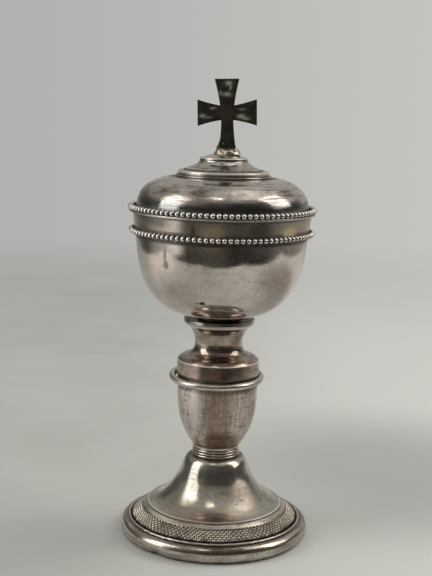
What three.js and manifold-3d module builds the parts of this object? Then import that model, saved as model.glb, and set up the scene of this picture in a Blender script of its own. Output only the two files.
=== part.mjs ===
// Ciborium: a covered altar cup on a turned stem and a round foot.
// Millimetres, +Z up, origin at the centre of the ring that the foot stands on.
import * as THREE from 'three';
import { mergeVertices } from 'three/addons/utils/BufferGeometryUtils.js';
import Module from 'manifold-3d';

const wasm = await Module();
wasm.setup();

// Sheet, fits and facets
const sheetWall = 0.9; // spun sheet of the bowl, lid, stem and foot
const plateWall = 1.5; // flat ends of the stem's shells, which the rod clamps
const fitClearance = 0.3; // play round anything that slides or slots into another piece
const solderGap = 0.06; // a wire laid against a wall
const rimFacets = 32; // round pieces as wide as the cup and the foot
const knopFacets = 24; // knop and its ring
const stemFacets = 20; // the slimmer turned pieces
const boltFacets = 16; // rods and washers

// Foot base, from its outer edge inward
const footRadius = 40.8; // widest, on the rounded rim
const footWidestHeight = 3.3;
const hemInset = 1.9; // from the widest edge to the ring that it stands on
const hemWidth = 2.4;
const rimWidth = 2.5; // rounded rim, seen from above
const ledgeHeight = 6.9; // flat ledge inside the rounded rim
const ledgeWidth = 2.0;
const ledgeRiser = 0.57; // ledge to the floor under the band
const bandWidth = 4.9;
const bandThickness = 0.75;
const stripWidth = 1.7; // plain strip between band and bell
const shelfSlope = 0.77; // rise for each millimetre inward
const seatWidth = 4.6; // flat seat of the bell
const filletRadius = 0.52; // section of the thin wire on the ledge
const filletInset = 1.3; // from the ledge's outer edge to the wire's centre

// Foot bell
const bellEdgeInset = 0.35; // bell's flange inside the seat's edge
const bellEdgeThickness = 0.7;
const bellEdgeRise = 0.5; // rise of the flange before it sweeps up
const bellEdgeSweep = 5.2; // length of that stretch
const bellHeight = 21.7; // seat to the flat top
const bellTopRadius = 10.2;
const bellTopSweep = 4.0; // length of the stretch that leaves the top level
const bellWaistRadius = 16.7; // where the bell turns from round to hollow
const bellWaistHeight = 11.7;
const bellWaistSlope = 1.5; // rise for each millimetre inward, there
const bellHollowSweep = 3.9; // waist outward, along that slope
const bellRoundSweep = 2.65; // waist inward, along that slope

// Reeded collar
const collarRadius = 9.3; // at the top
const collarTaper = 0.35; // wider at the foot
const collarNeckHeight = 1.15; // plain groove above the reeds
const reedCount = 3;
const reedPitch = 1.15;
const reedDepth = 0.55;

// Knop
const vaseHeight = 29.8;
const vaseFootRadius = 10.0;
const vaseRadius = 17.4;
const vaseNarrowing = 0.1; // under the rim
const knopPlateThickness = 1.6;
const knopWireRadius = 1.4;
const knopWireGap = 0.3; // ring to the knop plate's edge
const knopWireDrop = 0.95; // drum's foot to the ring's middle

// Neck spool
const drumOverhang = 0.5; // drum's foot beyond the knop
const drumHeight = 6.4;
const drumTaper = 0.3;
const shoulderRise = 2.1; // rounded shoulder above the drum's edge
const shoulderWidth = 3.5;
const shoulderSweep = 2.7; // length of the stretch where shoulder turns to neck
const shoulderFall = 0.3; // height that its near end gives up
const neckRise = 0.8; // height that its far end gains
const waistRadius = 10.3;
const waistHeight = 13.8; // above the drum's foot
const spoolHeight = 22.9;
const spoolLipRadius = 15.1;
const spoolLipHeight = 0.8;
const spoolFlareDrop = 1.3; // from the lip's top to where the flare ends
const spoolFlareRise = 1.1; // height that the flare's last stretch gains
const spoolFlareInset = 0.5; // flare's end inside the lip

// Disc and boss under the bowl
const discThickness = 1.6;
const discRadius = 15.3;
const discDish = 0.5;
const discRimWidth = 0.8;
const discUndercut = 0.2;
const bossFlangeRadius = 9.0;
const bossFlangeThickness = 1.1;
const bossShankRadius = 5.6;
const bossShankLength = 9.0;

// Bowl
const bowlBottomRadius = 12.2;
const bowlHeight = 34.9; // flat bottom to the foot of the lip
const bowlRadius = 36.9; // at the foot of the lip
const bowlBelly = 1.2; // how far the low belly's handle passes the lip's foot
const bowlSideDraw = 1.8; // how far the side's handle draws in
const lipHeight = 9.4;
const lipFlare = 1.05; // rim beyond the foot of the lip

// Beaded wires
const beadCount = 100;
const beadRadius = 1.15;
const neckShare = 0.5; // wire between two beads, as a share of the bead
const beadSides = 5;
const cupBeadDrop = 7.8; // from the cup's rim to the middle of its wire
const lidBeadOverhang = 0.5; // beads beyond the lid's flange

// Lid
const domeInset = 0.4; // dome inside the bowl's radius
const domeSkirt = 0.8; // upright foot of the dome
const domeHeight = 14.3; // flange to the flat top
const domeTopRadius = 18.0;
const domeSideSweep = 10.8; // length of the stretch that leaves the skirt upright
const domeTopSweep = 8.1; // length of the stretch that reaches the top level
const flangeThickness = 0.8;
const flangeOverhang = 3.0; // flange beyond the dome
const bezelDepth = 4.6;

// Finial mount, on the dome
const mountRadius = 19.4;
const mountFlangeOverhang = 1.0;
const mountFlangeThickness = 0.5;
const mountRimLift = 0.6; // rim above its thin flange
const mountRimThickness = 1.5;
const mountRimRound = 0.6;
const mountRimFlat = 2.2; // flat top of the rim
const mountRingHeight = 0.7; // small ring inside the rim
const mountConeRadius = 10.1;
const mountConeSpread = 5.7; // cone's foot beyond its top
const mountStepHeight = 7.7;
const mountStepBand = 0.9; // upright band under the step
const mountHeight = 9.2;

// Cross and its collar
const crossHeight = 29.5; // above the collar
const crossSpan = 24.6;
const crossThickness = 1.8;
const crossCentreHeight = 15.4;
const topArmWidth = 10.0;
const sideArmWidth = 10.6;
const footArmWidth = 7.7;
const crossingWidth = 5.9;
const armSag = 0.25; // hollow of each arm's edge
const tenonWidth = 5.6;
const tenonDepth = 1.5;
const crossCollarRadius = 5.4;
const crossCollarHeight = 2.0;
const crossCollarTaper = 0.7;

// Tie rod, stud and their nuts
const rodRadius = 2.5;
const studRadius = 2.0;
const studDepth = 5.5; // into the finial mount
const threadEnd = 1.2; // thread that shows past a nut
const washerThickness = 1.0;
const footWasherRadius = 8.5;
const footNutWidth = 10.0; // across the flats
const footNutHeight = 3.6;
const studWasherRadius = 6.0;
const studNutWidth = 7.0;
const studNutHeight = 2.6;

// Radii that follow from one another
const hemRadius = footRadius - hemInset;
const ledgeRadius = footRadius - rimWidth;
const shelfRadius = ledgeRadius - ledgeWidth;
const bandInnerRadius = shelfRadius - bandWidth;
const seatRadius = bandInnerRadius - stripWidth;
const drumRadius = vaseRadius + drumOverhang;
const shoulderRadius = drumRadius - drumTaper - shoulderWidth;
const lipRadius = bowlRadius + lipFlare;
const domeRadius = bowlRadius - domeInset;
const flangeRadius = domeRadius + flangeOverhang;
const rodHole = rodRadius + fitClearance;
const studHole = studRadius + fitClearance;
const shankHole = bossShankRadius + fitClearance;

// Levels of the stacked pieces
const seatHeight = ledgeHeight + ledgeRiser + bandThickness + shelfSlope * (shelfRadius - seatRadius);
const collarHeight = reedCount * reedPitch + collarNeckHeight;
const bellTop = seatHeight + bellHeight;
const collarTop = bellTop + collarHeight;
const vaseTop = collarTop + vaseHeight;
const drumFoot = vaseTop + knopPlateThickness;
const spoolTop = drumFoot + spoolHeight;
const discTop = spoolTop + discThickness;
const bowlBottom = discTop + bossFlangeThickness;
const lipFoot = bowlBottom + bowlHeight;
const cupRim = lipFoot + lipHeight;
const flangeTop = cupRim + flangeThickness;
const domeTop = flangeTop + domeHeight;
const mountTop = domeTop + mountHeight;
const crossFoot = mountTop + crossCollarHeight;

const finish = (color, roughness) => new THREE.MeshStandardMaterial({ color, metalness: 1, roughness });
const silver = finish(0xb9aea6, 0.3);
const wornSilver = finish(0x9c9189, 0.4);
const brightSilver = finish(0xc9c1ba, 0.25);
const blackened = finish(0x2b2822, 0.5);
const solder = finish(0xa39c8f, 0.45);
const brass = finish(0xae8f58, 0.4);

const point = (radius, height) => new THREE.Vector2(radius, height);

// Evenly spaced points of a cubic curve between two ends, with its two handles
function curve(divisions, start, startHandle, endHandle, end) {
  return new THREE.CubicBezierCurve(start, startHandle, endHandle, end).getSpacedPoints(divisions);
}

// Points of a quarter ellipse that rises inward from its widest point
function ovolo(divisions, centre, width, height) {
  return Array.from({ length: divisions + 1 }, (_, i) => {
    const angle = (i / divisions) * (Math.PI / 2);
    return point(centre.x + width * Math.cos(angle), centre.y + height * Math.sin(angle));
  });
}

// Inner face of a sheet wall whose outer face runs upward
function insideFace(outer, wall) {
  return outer.map((at, i) => {
    const before = outer[Math.max(i - 1, 0)];
    const after = outer[Math.min(i + 1, outer.length - 1)];
    const along = after.clone().sub(before).normalize();
    return point(at.x - wall * along.y, at.y + wall * along.x);
  });
}

// Part of a descending line of points above a height, ended exactly on it
function downTo(points, height) {
  const kept = points.filter((at) => at.y > height);
  const next = points[kept.length];
  if (!next) return kept;
  const last = kept[kept.length - 1];
  const share = (last.y - height) / (last.y - next.y);
  return [...kept, last.clone().lerp(next, share)];
}

const everySecond = (points) => points.filter((at, i) => i % 2 === 0);

// Turns an outline about the Z axis. It runs anticlockwise, radius to the right and height up.
function turned(outline, facets) {
  const startsOnAxis = outline[0].x === 0;
  const points = startsOnAxis ? outline : [...outline, outline[0].clone()];
  return new THREE.LatheGeometry(points, facets).rotateX(Math.PI / 2);
}

function ring(innerRadius, outerRadius, height, facets) {
  const outline = [
    point(innerRadius, 0),
    point(outerRadius, 0),
    point(outerRadius, height),
    point(innerRadius, height),
  ];
  return turned(outline, facets);
}

// Round wire bent into a ring. Its section's flat sides touch the true circle, one of them below.
function wireRing(centreRadius, wireRadius, sides, facets) {
  const corner = wireRadius / Math.cos(Math.PI / sides);
  const outline = Array.from({ length: sides }, (_, i) => {
    const angle = ((i + 0.5) / sides) * 2 * Math.PI - Math.PI / 2;
    return point(centreRadius + corner * Math.cos(angle), corner * Math.sin(angle));
  });
  return turned(outline, facets);
}

function named(name, geometry, material, height) {
  const mesh = new THREE.Mesh(geometry, material);
  mesh.name = name;
  mesh.position.z = height;
  return mesh;
}

// A solid for cutting, from a closed geometry
function solidOf(geometry) {
  const bare = geometry.clone();
  bare.deleteAttribute('normal');
  bare.deleteAttribute('uv');
  const merged = mergeVertices(bare, 1e-4);
  return new wasm.Manifold(new wasm.Mesh({
    numProp: 3,
    vertProperties: Float32Array.from(merged.attributes.position.array),
    triVerts: Uint32Array.from(merged.index.array),
  }));
}

function geometryOf(solid) {
  const mesh = solid.getMesh();
  const geometry = new THREE.BufferGeometry();
  geometry.setAttribute('position', new THREE.BufferAttribute(mesh.vertProperties, 3));
  geometry.setIndex(new THREE.BufferAttribute(mesh.triVerts, 1));
  geometry.computeVertexNormals();
  return geometry;
}

// Height of the shelf's surface, and of the floor that the band lies on
const shelfAt = (radius) => seatHeight - shelfSlope * (radius - seatRadius);
const bandFloorAt = (radius) => shelfAt(radius) - bandThickness;

// Rounded rim, ledge, sloped shelf with its recess for the band, and the seat of the bell
function footBase() {
  const rimRise = ledgeHeight - footWidestHeight;
  const rim = ovolo(3, point(ledgeRadius, footWidestHeight), footRadius - ledgeRadius, rimRise);
  const shelfWall = sheetWall / Math.cos(Math.atan(shelfSlope));
  return turned([
    point(hemRadius - hemWidth, 0),
    point(hemRadius, 0),
    point((hemRadius + 3 * footRadius) / 4, footWidestHeight / 3),
    ...rim,
    point(shelfRadius, ledgeHeight),
    point(shelfRadius, bandFloorAt(shelfRadius)),
    point(bandInnerRadius, bandFloorAt(bandInnerRadius)),
    point(bandInnerRadius, shelfAt(bandInnerRadius)),
    point(seatRadius, seatHeight),
    point(seatRadius - seatWidth, seatHeight),
    point(seatRadius - seatWidth, seatHeight - sheetWall),
    point(seatRadius - sheetWall, seatHeight - sheetWall),
    point(shelfRadius - sheetWall, bandFloorAt(shelfRadius - sheetWall) - shelfWall),
    point(ledgeRadius, ledgeHeight - sheetWall),
    point(footRadius - sheetWall, footWidestHeight),
    point(hemRadius, sheetWall),
    point(hemRadius - hemWidth, sheetWall),
  ], rimFacets);
}

// Strip let into the shelf, flush with it
function footBand() {
  const inner = bandInnerRadius + fitClearance / 2;
  return turned([
    point(shelfRadius, bandFloorAt(shelfRadius)),
    point(shelfRadius, shelfAt(shelfRadius)),
    point(inner, shelfAt(inner)),
    point(inner, bandFloorAt(inner)),
  ], rimFacets);
}

// Bell with a thin flange that lies on the seat
function footBell() {
  const edgeRadius = seatRadius - bellEdgeInset;
  const waist = (outward) => point(bellWaistRadius + outward, bellWaistHeight - bellWaistSlope * outward);
  const flare = curve(
    5,
    point(edgeRadius, bellEdgeThickness),
    point(edgeRadius - bellEdgeSweep, bellEdgeThickness + bellEdgeRise),
    waist(bellHollowSweep),
    waist(0),
  );
  const crown = curve(
    4,
    waist(0),
    waist(-bellRoundSweep),
    point(bellTopRadius + bellTopSweep, bellHeight),
    point(bellTopRadius, bellHeight),
  );
  const outer = [...flare, ...crown.slice(1)];
  const under = bellHeight - plateWall;
  const inner = everySecond(insideFace(outer, sheetWall)).reverse().filter((at) => at.y < under);
  return turned([
    point(edgeRadius, 0),
    ...outer,
    point(rodHole, bellHeight),
    point(rodHole, under),
    point(bellTopRadius, under),
    ...downTo(inner, 0),
  ], rimFacets);
}

// Turned collar: reeds one above the other, and a plain groove under the knop
function reededCollar() {
  const reeds = [];
  for (let reed = 0; reed < reedCount; reed += 1) {
    const groove = collarRadius + collarTaper * (1 - reed / reedCount);
    const foot = reed * reedPitch;
    reeds.push(point(groove, foot));
    reeds.push(point(groove + reedDepth, foot + 0.3 * reedPitch));
    reeds.push(point(groove + reedDepth, foot + 0.7 * reedPitch));
  }
  return turned([
    point(rodHole, 0),
    ...reeds,
    point(collarRadius, reedCount * reedPitch),
    point(collarRadius, collarHeight),
    point(rodHole, collarHeight),
  ], stemFacets);
}

// Vase-shaped shell, open at the top, with a flat foot
function knopVase() {
  const outer = [
    ...curve(
      7,
      point(vaseFootRadius, 0),
      point(vaseRadius, 0.3 * vaseHeight),
      point(vaseRadius, 0.65 * vaseHeight),
      point(vaseRadius - vaseNarrowing, 0.95 * vaseHeight),
    ),
    point(vaseRadius, vaseHeight),
  ];
  const inner = everySecond(insideFace(outer, sheetWall).slice(0, -1)).reverse();
  return turned([
    point(rodHole, 0),
    ...outer,
    point(vaseRadius - sheetWall, vaseHeight),
    ...downTo(inner, plateWall),
    point(rodHole, plateWall),
  ], knopFacets);
}

// Drum, rounded shoulder, hollow neck and flared lip, spun from one shell
function neckSpool() {
  const edgeRadius = drumRadius - drumTaper;
  const neckFoot = drumHeight + shoulderRise;
  const flareFoot = spoolHeight - spoolFlareDrop;
  const halfway = (neckFoot + waistHeight) / 2;
  const shoulder = curve(
    3,
    point(edgeRadius, drumHeight),
    point(edgeRadius, drumHeight + 0.9 * shoulderRise),
    point(shoulderRadius + 0.4 * shoulderSweep, neckFoot - shoulderFall),
    point(shoulderRadius, neckFoot),
  );
  const sweep = curve(
    4,
    point(shoulderRadius, neckFoot),
    point(shoulderRadius - shoulderSweep, neckFoot + neckRise),
    point(waistRadius, halfway),
    point(waistRadius, waistHeight),
  );
  const flare = curve(
    4,
    point(waistRadius, waistHeight),
    point(waistRadius, waistHeight + 0.45 * (flareFoot - waistHeight)),
    point(waistRadius + 0.35 * (spoolLipRadius - waistRadius), flareFoot - spoolFlareRise),
    point(spoolLipRadius - spoolFlareInset, flareFoot),
  );
  const outer = [
    point(drumRadius, 0),
    ...shoulder,
    ...sweep.slice(1),
    ...flare.slice(1),
    point(spoolLipRadius, spoolHeight - spoolLipHeight),
  ];
  const under = spoolHeight - plateWall;
  const inner = everySecond(insideFace(outer, sheetWall).slice(1)).reverse().filter((at) => at.y < under);
  return turned([
    point(drumRadius - sheetWall, 0),
    ...outer,
    point(spoolLipRadius, spoolHeight),
    point(shankHole, spoolHeight),
    point(shankHole, under),
    ...inner,
  ], stemFacets);
}

// Disc with a dished top, between the neck's lip and the bowl
function neckDisc() {
  return turned([
    point(shankHole, 0),
    point(discRadius - discUndercut, 0),
    point(discRadius, discThickness / 2),
    point(discRadius, discThickness),
    point(discRadius - discRimWidth, discThickness),
    point(bossFlangeRadius + discRimWidth, discThickness - discDish),
    point(bossFlangeRadius, discThickness),
    point(shankHole, discThickness),
  ], stemFacets);
}

// Flanged socket under the bowl, bored for the rod
function bowlBoss() {
  const boreTop = bossShankLength + bossFlangeThickness / 2;
  return turned([
    point(0, boreTop),
    point(rodHole, boreTop),
    point(rodHole, 0),
    point(bossShankRadius, 0),
    point(bossShankRadius, bossShankLength),
    point(bossFlangeRadius, bossShankLength),
    point(bossFlangeRadius, bossShankLength + bossFlangeThickness),
    point(0, bossShankLength + bossFlangeThickness),
  ], stemFacets);
}

// Outer face of the cup, bottom to rim
function bowlOuterFace() {
  return [
    ...curve(
      10,
      point(bowlBottomRadius, 0),
      point(bowlRadius + bowlBelly, 0.09 * bowlHeight),
      point(bowlRadius - bowlSideDraw, 0.89 * bowlHeight),
      point(bowlRadius, bowlHeight),
    ),
    point(lipRadius, bowlHeight + lipHeight),
  ];
}

function bowl() {
  const outer = bowlOuterFace();
  const rim = outer[outer.length - 1];
  const inner = everySecond(insideFace(outer, sheetWall)).reverse();
  return turned([
    point(0, 0),
    ...outer,
    point(rim.x - sheetWall, rim.y),
    ...inner,
    point(0, sheetWall),
  ], rimFacets);
}

// Beaded wire: one unbroken tube that swells at each bead and necks between two
function beadedWire(centreRadius) {
  const stations = [[0, neckShare], [0.5, 1]];
  const positions = [];
  const triangles = [];
  for (let bead = 0; bead < beadCount; bead += 1) {
    for (const [phase, share] of stations) {
      const turn = ((bead + phase) / beadCount) * 2 * Math.PI;
      for (let side = 0; side < beadSides; side += 1) {
        const angle = (side / beadSides) * 2 * Math.PI;
        const radius = centreRadius + share * beadRadius * Math.cos(angle);
        const height = share * beadRadius * Math.sin(angle);
        positions.push(radius * Math.cos(turn), radius * Math.sin(turn), height);
      }
    }
  }
  const stationCount = beadCount * stations.length;
  const vertex = (station, side) => (station % stationCount) * beadSides + (side % beadSides);
  for (let station = 0; station < stationCount; station += 1) {
    for (let side = 0; side < beadSides; side += 1) {
      const a = vertex(station, side);
      const b = vertex(station + 1, side);
      const c = vertex(station + 1, side + 1);
      const d = vertex(station, side + 1);
      triangles.push(a, b, c, a, c, d);
    }
  }
  const geometry = new THREE.BufferGeometry();
  geometry.setAttribute('position', new THREE.Float32BufferAttribute(positions, 3));
  geometry.setIndex(triangles);
  geometry.computeVertexNormals();
  return geometry;
}

// Domed lid: upright skirt, round shoulder and a flat top bored for the stud
function lidDome() {
  const outer = [
    point(domeRadius, 0),
    ...curve(
      7,
      point(domeRadius, domeSkirt),
      point(domeRadius, domeSkirt + domeSideSweep),
      point(domeTopRadius + domeTopSweep, domeHeight),
      point(domeTopRadius, domeHeight),
    ),
  ];
  const inner = everySecond(insideFace(outer, sheetWall).slice(2)).reverse();
  return turned([
    point(domeRadius - sheetWall, 0),
    ...outer,
    point(studHole, domeHeight),
    point(studHole, domeHeight - sheetWall),
    ...inner,
  ], rimFacets);
}

// Stepped mount: thin flange, rounded rim, small ring, hollow cone and a second step
function finialMount() {
  const rimFoot = mountFlangeThickness + mountRimLift;
  const rimTop = rimFoot + mountRimThickness;
  const ringTop = rimTop + mountRingHeight;
  const ringRadius = mountRadius - mountRimFlat;
  return turned([
    point(0, studDepth),
    point(studHole, studDepth),
    point(studHole, 0),
    point(mountRadius + mountFlangeOverhang, 0),
    point(mountRadius + mountFlangeOverhang, mountFlangeThickness),
    point(mountRadius, rimFoot),
    point(mountRadius, rimTop - mountRimRound),
    point(mountRadius - mountRimRound, rimTop),
    point(ringRadius, rimTop),
    point(ringRadius - mountRingHeight, ringTop),
    ...curve(
      4,
      point(mountConeRadius + mountConeSpread, ringTop),
      point(mountConeRadius + mountConeSpread / 2, ringTop + mountRingHeight),
      point(mountConeRadius, mountStepHeight - 2 * mountStepBand),
      point(mountConeRadius, mountStepHeight - mountStepBand),
    ),
    point(mountConeRadius, mountStepHeight),
    point(mountConeRadius - mountRimRound, mountStepHeight + mountRimRound / 2),
    point(crossCollarRadius, mountHeight),
    point(0, mountHeight),
  ], stemFacets);
}

// Flat cross with flared arms, and a tenon under its foot
function cross() {
  const half = crossingWidth / 2;
  const plate = new THREE.Shape();
  const edge = (fromX, fromY, toX, toY) => {
    const toCentre = Math.hypot((fromX + toX) / 2, (fromY + toY) / 2 - crossCentreHeight);
    const pull = 2 * armSag / toCentre;
    const middleX = (fromX + toX) / 2;
    const middleY = (fromY + toY) / 2;
    plate.quadraticCurveTo(middleX * (1 - pull), middleY + (crossCentreHeight - middleY) * pull, toX, toY);
  };
  const low = crossCentreHeight - half;
  const high = crossCentreHeight + half;
  const armLow = crossCentreHeight - sideArmWidth / 2;
  const armHigh = crossCentreHeight + sideArmWidth / 2;
  const reach = crossSpan / 2;
  plate.moveTo(-tenonWidth / 2, -tenonDepth);
  plate.lineTo(tenonWidth / 2, -tenonDepth);
  plate.lineTo(tenonWidth / 2, 0);
  plate.lineTo(footArmWidth / 2, 0);
  edge(footArmWidth / 2, 0, half, low);
  edge(half, low, reach, armLow);
  plate.lineTo(reach, armHigh);
  edge(reach, armHigh, half, high);
  edge(half, high, topArmWidth / 2, crossHeight);
  plate.lineTo(-topArmWidth / 2, crossHeight);
  edge(-topArmWidth / 2, crossHeight, -half, high);
  edge(-half, high, -reach, armHigh);
  plate.lineTo(-reach, armLow);
  edge(-reach, armLow, -half, low);
  edge(-half, low, -footArmWidth / 2, 0);
  plate.lineTo(-tenonWidth / 2, 0);
  const geometry = new THREE.ExtrudeGeometry(plate, {
    depth: crossThickness,
    bevelEnabled: false,
    curveSegments: 4,
  });
  return geometry.translate(0, 0, -crossThickness / 2).rotateX(Math.PI / 2);
}

// Collar with a slot that takes the cross's tenon
function crossCollar() {
  const body = turned([
    point(0, 0),
    point(crossCollarRadius, 0),
    point(crossCollarRadius - crossCollarTaper / 3, crossCollarHeight / 2),
    point(crossCollarRadius - crossCollarTaper, crossCollarHeight),
    point(0, crossCollarHeight),
  ], stemFacets);
  const slot = new THREE.BoxGeometry(
    tenonWidth + 2 * fitClearance,
    crossThickness + 2 * fitClearance,
    2 * (tenonDepth + fitClearance),
  ).translate(0, 0, crossCollarHeight);
  return geometryOf(solidOf(body).subtract(solidOf(slot)));
}

function rod(radius, length) {
  return new THREE.CylinderGeometry(radius, radius, length, boltFacets)
    .rotateX(Math.PI / 2)
    .translate(0, 0, length / 2);
}

// Hexagonal nut, its bore clear of the thread
function hexNut(widthAcrossFlats, height, threadRadius) {
  const corner = widthAcrossFlats / Math.sqrt(3);
  const hexagon = new THREE.Shape();
  for (let i = 0; i < 6; i += 1) {
    const angle = (i / 6) * 2 * Math.PI;
    const [x, y] = [corner * Math.cos(angle), corner * Math.sin(angle)];
    if (i === 0) hexagon.moveTo(x, y);
    else hexagon.lineTo(x, y);
  }
  hexagon.closePath();
  const bore = new THREE.Path();
  bore.absarc(0, 0, threadRadius + fitClearance, 0, 2 * Math.PI, true);
  hexagon.holes.push(bore);
  return new THREE.ExtrudeGeometry(hexagon, { depth: height, bevelEnabled: false, curveSegments: 6 });
}

// Radius of the cup's outer face at a height above the bowl's bottom
function bowlRadiusAt(height) {
  const face = bowlOuterFace();
  const above = face.findIndex((at) => at.y >= height);
  const share = (height - face[above - 1].y) / (face[above].y - face[above - 1].y);
  return face[above - 1].x + share * (face[above].x - face[above - 1].x);
}

// Foot and stem, from the ground up
function footAndStem() {
  const group = new THREE.Group();
  const washerTop = bellTop - plateWall;
  const nutTop = washerTop - washerThickness;
  const rodFoot = nutTop - footNutHeight - threadEnd;
  const rodTop = discTop - fitClearance;
  const wireCentre = vaseRadius + knopWireGap + knopWireRadius;
  group.add(
    named('foot_base', footBase(), silver, 0),
    named('foot_band', footBand(), wornSilver, 0),
    named('foot_fillet', wireRing(ledgeRadius - filletInset, filletRadius, 6, rimFacets), wornSilver,
      ledgeHeight + filletRadius),
    named('foot_bell', footBell(), silver, seatHeight),
    named('foot_washer', ring(rodHole, footWasherRadius, washerThickness, boltFacets), brass,
      washerTop - washerThickness),
    named('foot_nut', hexNut(footNutWidth, footNutHeight, rodRadius), brass, nutTop - footNutHeight),
    named('tie_rod', rod(rodRadius, rodTop - rodFoot), brass, rodFoot),
    named('reeded_collar', reededCollar(), silver, bellTop),
    named('knop_vase', knopVase(), silver, collarTop),
    named('knop_plate', ring(rodHole, vaseRadius, knopPlateThickness, knopFacets), wornSilver, vaseTop),
    named('knop_wire', wireRing(wireCentre, knopWireRadius, 8, knopFacets), brightSilver,
      drumFoot - knopWireDrop),
    named('neck_spool', neckSpool(), silver, drumFoot),
    named('neck_disc', neckDisc(), wornSilver, spoolTop),
  );
  return group;
}

// Cup with its boss and its beaded wire
function cup() {
  const group = new THREE.Group();
  const beadHeight = bowlHeight + lipHeight - cupBeadDrop;
  const beadCentre = bowlRadiusAt(beadHeight) + beadRadius + solderGap;
  group.add(
    named('bowl_boss', bowlBoss(), brass, discTop - bossShankLength),
    named('bowl', bowl(), silver, bowlBottom),
    named('cup_bead_wire', beadedWire(beadCentre), brightSilver, bowlBottom + beadHeight),
  );
  return group;
}

// Lid, which lifts off the cup as one
function lid() {
  const group = new THREE.Group();
  const bezelRadius = bowlRadius - sheetWall - fitClearance;
  const bezelInner = bezelRadius - sheetWall;
  const washerTop = domeTop - sheetWall;
  const nutTop = washerTop - washerThickness;
  const studFoot = nutTop - studNutHeight - threadEnd;
  const studTop = domeTop + studDepth - fitClearance;
  group.add(
    named('lid_bezel', ring(bezelInner, bezelRadius, bezelDepth, rimFacets), silver, cupRim - bezelDepth),
    named('lid_flange', ring(bezelInner, flangeRadius, flangeThickness, rimFacets), wornSilver, cupRim),
    named('lid_bead_wire', beadedWire(flangeRadius + lidBeadOverhang - beadRadius), brightSilver,
      flangeTop + beadRadius),
    named('lid_dome', lidDome(), silver, flangeTop),
    named('finial_mount', finialMount(), silver, domeTop),
    named('finial_stud', rod(studRadius, studTop - studFoot), brass, studFoot),
    named('finial_washer', ring(studHole, studWasherRadius, washerThickness, boltFacets),
      brass, washerTop - washerThickness),
    named('finial_nut', hexNut(studNutWidth, studNutHeight, studRadius), brass, nutTop - studNutHeight),
    named('cross_collar', crossCollar(), solder, mountTop),
    named('cross', cross(), blackened, crossFoot),
  );
  return group;
}

const ciborium = new THREE.Group();
ciborium.add(footAndStem(), cup(), lid());

export default ciborium;
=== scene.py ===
# Looks of the ciborium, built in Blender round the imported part.
# Outlines are in millimetres, as (radius, height), and meshes in metres.
import math

import bpy
from mathutils import Matrix, Vector, noise

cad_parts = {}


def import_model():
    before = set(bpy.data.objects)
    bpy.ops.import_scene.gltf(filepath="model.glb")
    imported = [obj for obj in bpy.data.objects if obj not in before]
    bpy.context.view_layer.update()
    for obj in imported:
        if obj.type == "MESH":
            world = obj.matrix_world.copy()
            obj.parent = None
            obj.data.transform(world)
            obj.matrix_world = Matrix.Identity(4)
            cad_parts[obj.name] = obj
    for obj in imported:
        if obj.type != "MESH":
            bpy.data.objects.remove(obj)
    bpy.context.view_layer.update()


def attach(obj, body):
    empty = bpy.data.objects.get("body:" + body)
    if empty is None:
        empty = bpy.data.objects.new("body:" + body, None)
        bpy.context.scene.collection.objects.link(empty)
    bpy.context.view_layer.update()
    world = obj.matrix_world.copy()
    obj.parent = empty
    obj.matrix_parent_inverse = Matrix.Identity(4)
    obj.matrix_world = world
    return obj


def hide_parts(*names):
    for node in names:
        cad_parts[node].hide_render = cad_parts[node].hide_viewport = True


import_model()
# Without a seed, noise_vector would follow the clock and differ from run to run
noise.seed_set(7)

MM = 0.001

# Facets round a turned piece
RIM_FACETS = 256
STEM_FACETS = 160
BOLT_FACETS = 96
SHARP_ANGLE = math.radians(50)

# Slow unevenness: how far it reaches, over what distance it changes, and the height it grows over
DRIFT_SIZE = 0.10
DRIFT_LENGTH = 55.0
DRIFT_START = 4.0

# Levels of the stacked pieces, as in the part
SEAT = 13.3
BELL_TOP = 35.0
COLLAR_TOP = 39.6
VASE_TOP = 69.4
DRUM_FOOT = 71.0
DRUM_TOP = 77.4
BOSS_FOOT = 86.5
SPOOL_TOP = 93.9
DISC_TOP = 95.5
BOWL_BOTTOM = 96.6
LIP_FOOT = 131.5
CUP_RIM = 140.9
FLANGE_TOP = 141.7
DOME_TOP = 156.0
MOUNT_TOP = 165.2
CROSS_FOOT = 167.2

# Driving sizes shared with the part
SHEET_WALL = 0.9
PLATE_WALL = 1.5
FOOT_RADIUS = 40.8
HEM_OUTER = 38.9
HEM_INNER = 36.5
LEDGE_RADIUS = 38.3
LEDGE_HEIGHT = 6.9
SHELF_RADIUS = 36.3
BAND_INNER = 31.4
SEAT_RADIUS = 29.7
SHELF_SLOPE = 0.77
BAND_THICKNESS = 0.75
BELL_RADIUS = 29.35
VASE_RADIUS = 17.4
LIP_RADIUS = 37.0
RIM_RADIUS = 37.95
BEZEL_INNER = 34.8
BEZEL_OUTER = 35.7
FLANGE_RADIUS = 39.5
DOME_RADIUS = 36.5
CROSS_HALF_THICKNESS = 0.9
ROD_RADIUS = 2.5
ROD_HOLE = 2.8
SHANK_HOLE = 5.9
STUD_RADIUS = 2.0
STUD_HOLE = 2.3
THREAD_PITCH = 0.8
WASHER_THICKNESS = 1.0
DENT_ANGLE = math.radians(-126)
DENT_WIDTH = 0.075
DENT_DEPTH = 1.2
DENT_HEIGHT = 3.5
BEAD_COUNT = 100
BEAD_RADIUS = 1.15
CUP_WIRE = (38.28, 133.1)
LID_WIRE = (38.85, FLANGE_TOP + BEAD_RADIUS)

# The cross stands a little to the right of the axis and leans back over it
CROSS_SHIFT = Vector((1.35, 0.0, 0.0))
CROSS_LEAN = math.radians(1.9)
# Beads of solder up the left edge of the cross's foot, as (x, height, half-width, half-length)
SOLDER_RUN = (
    (-2.75, 167.9, 0.55, 0.9),
    (-2.35, 169.2, 0.4, 0.9),
    (-2.05, 170.5, 0.3, 0.8),
    (-1.75, 171.9, 0.35, 0.6),
)

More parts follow.
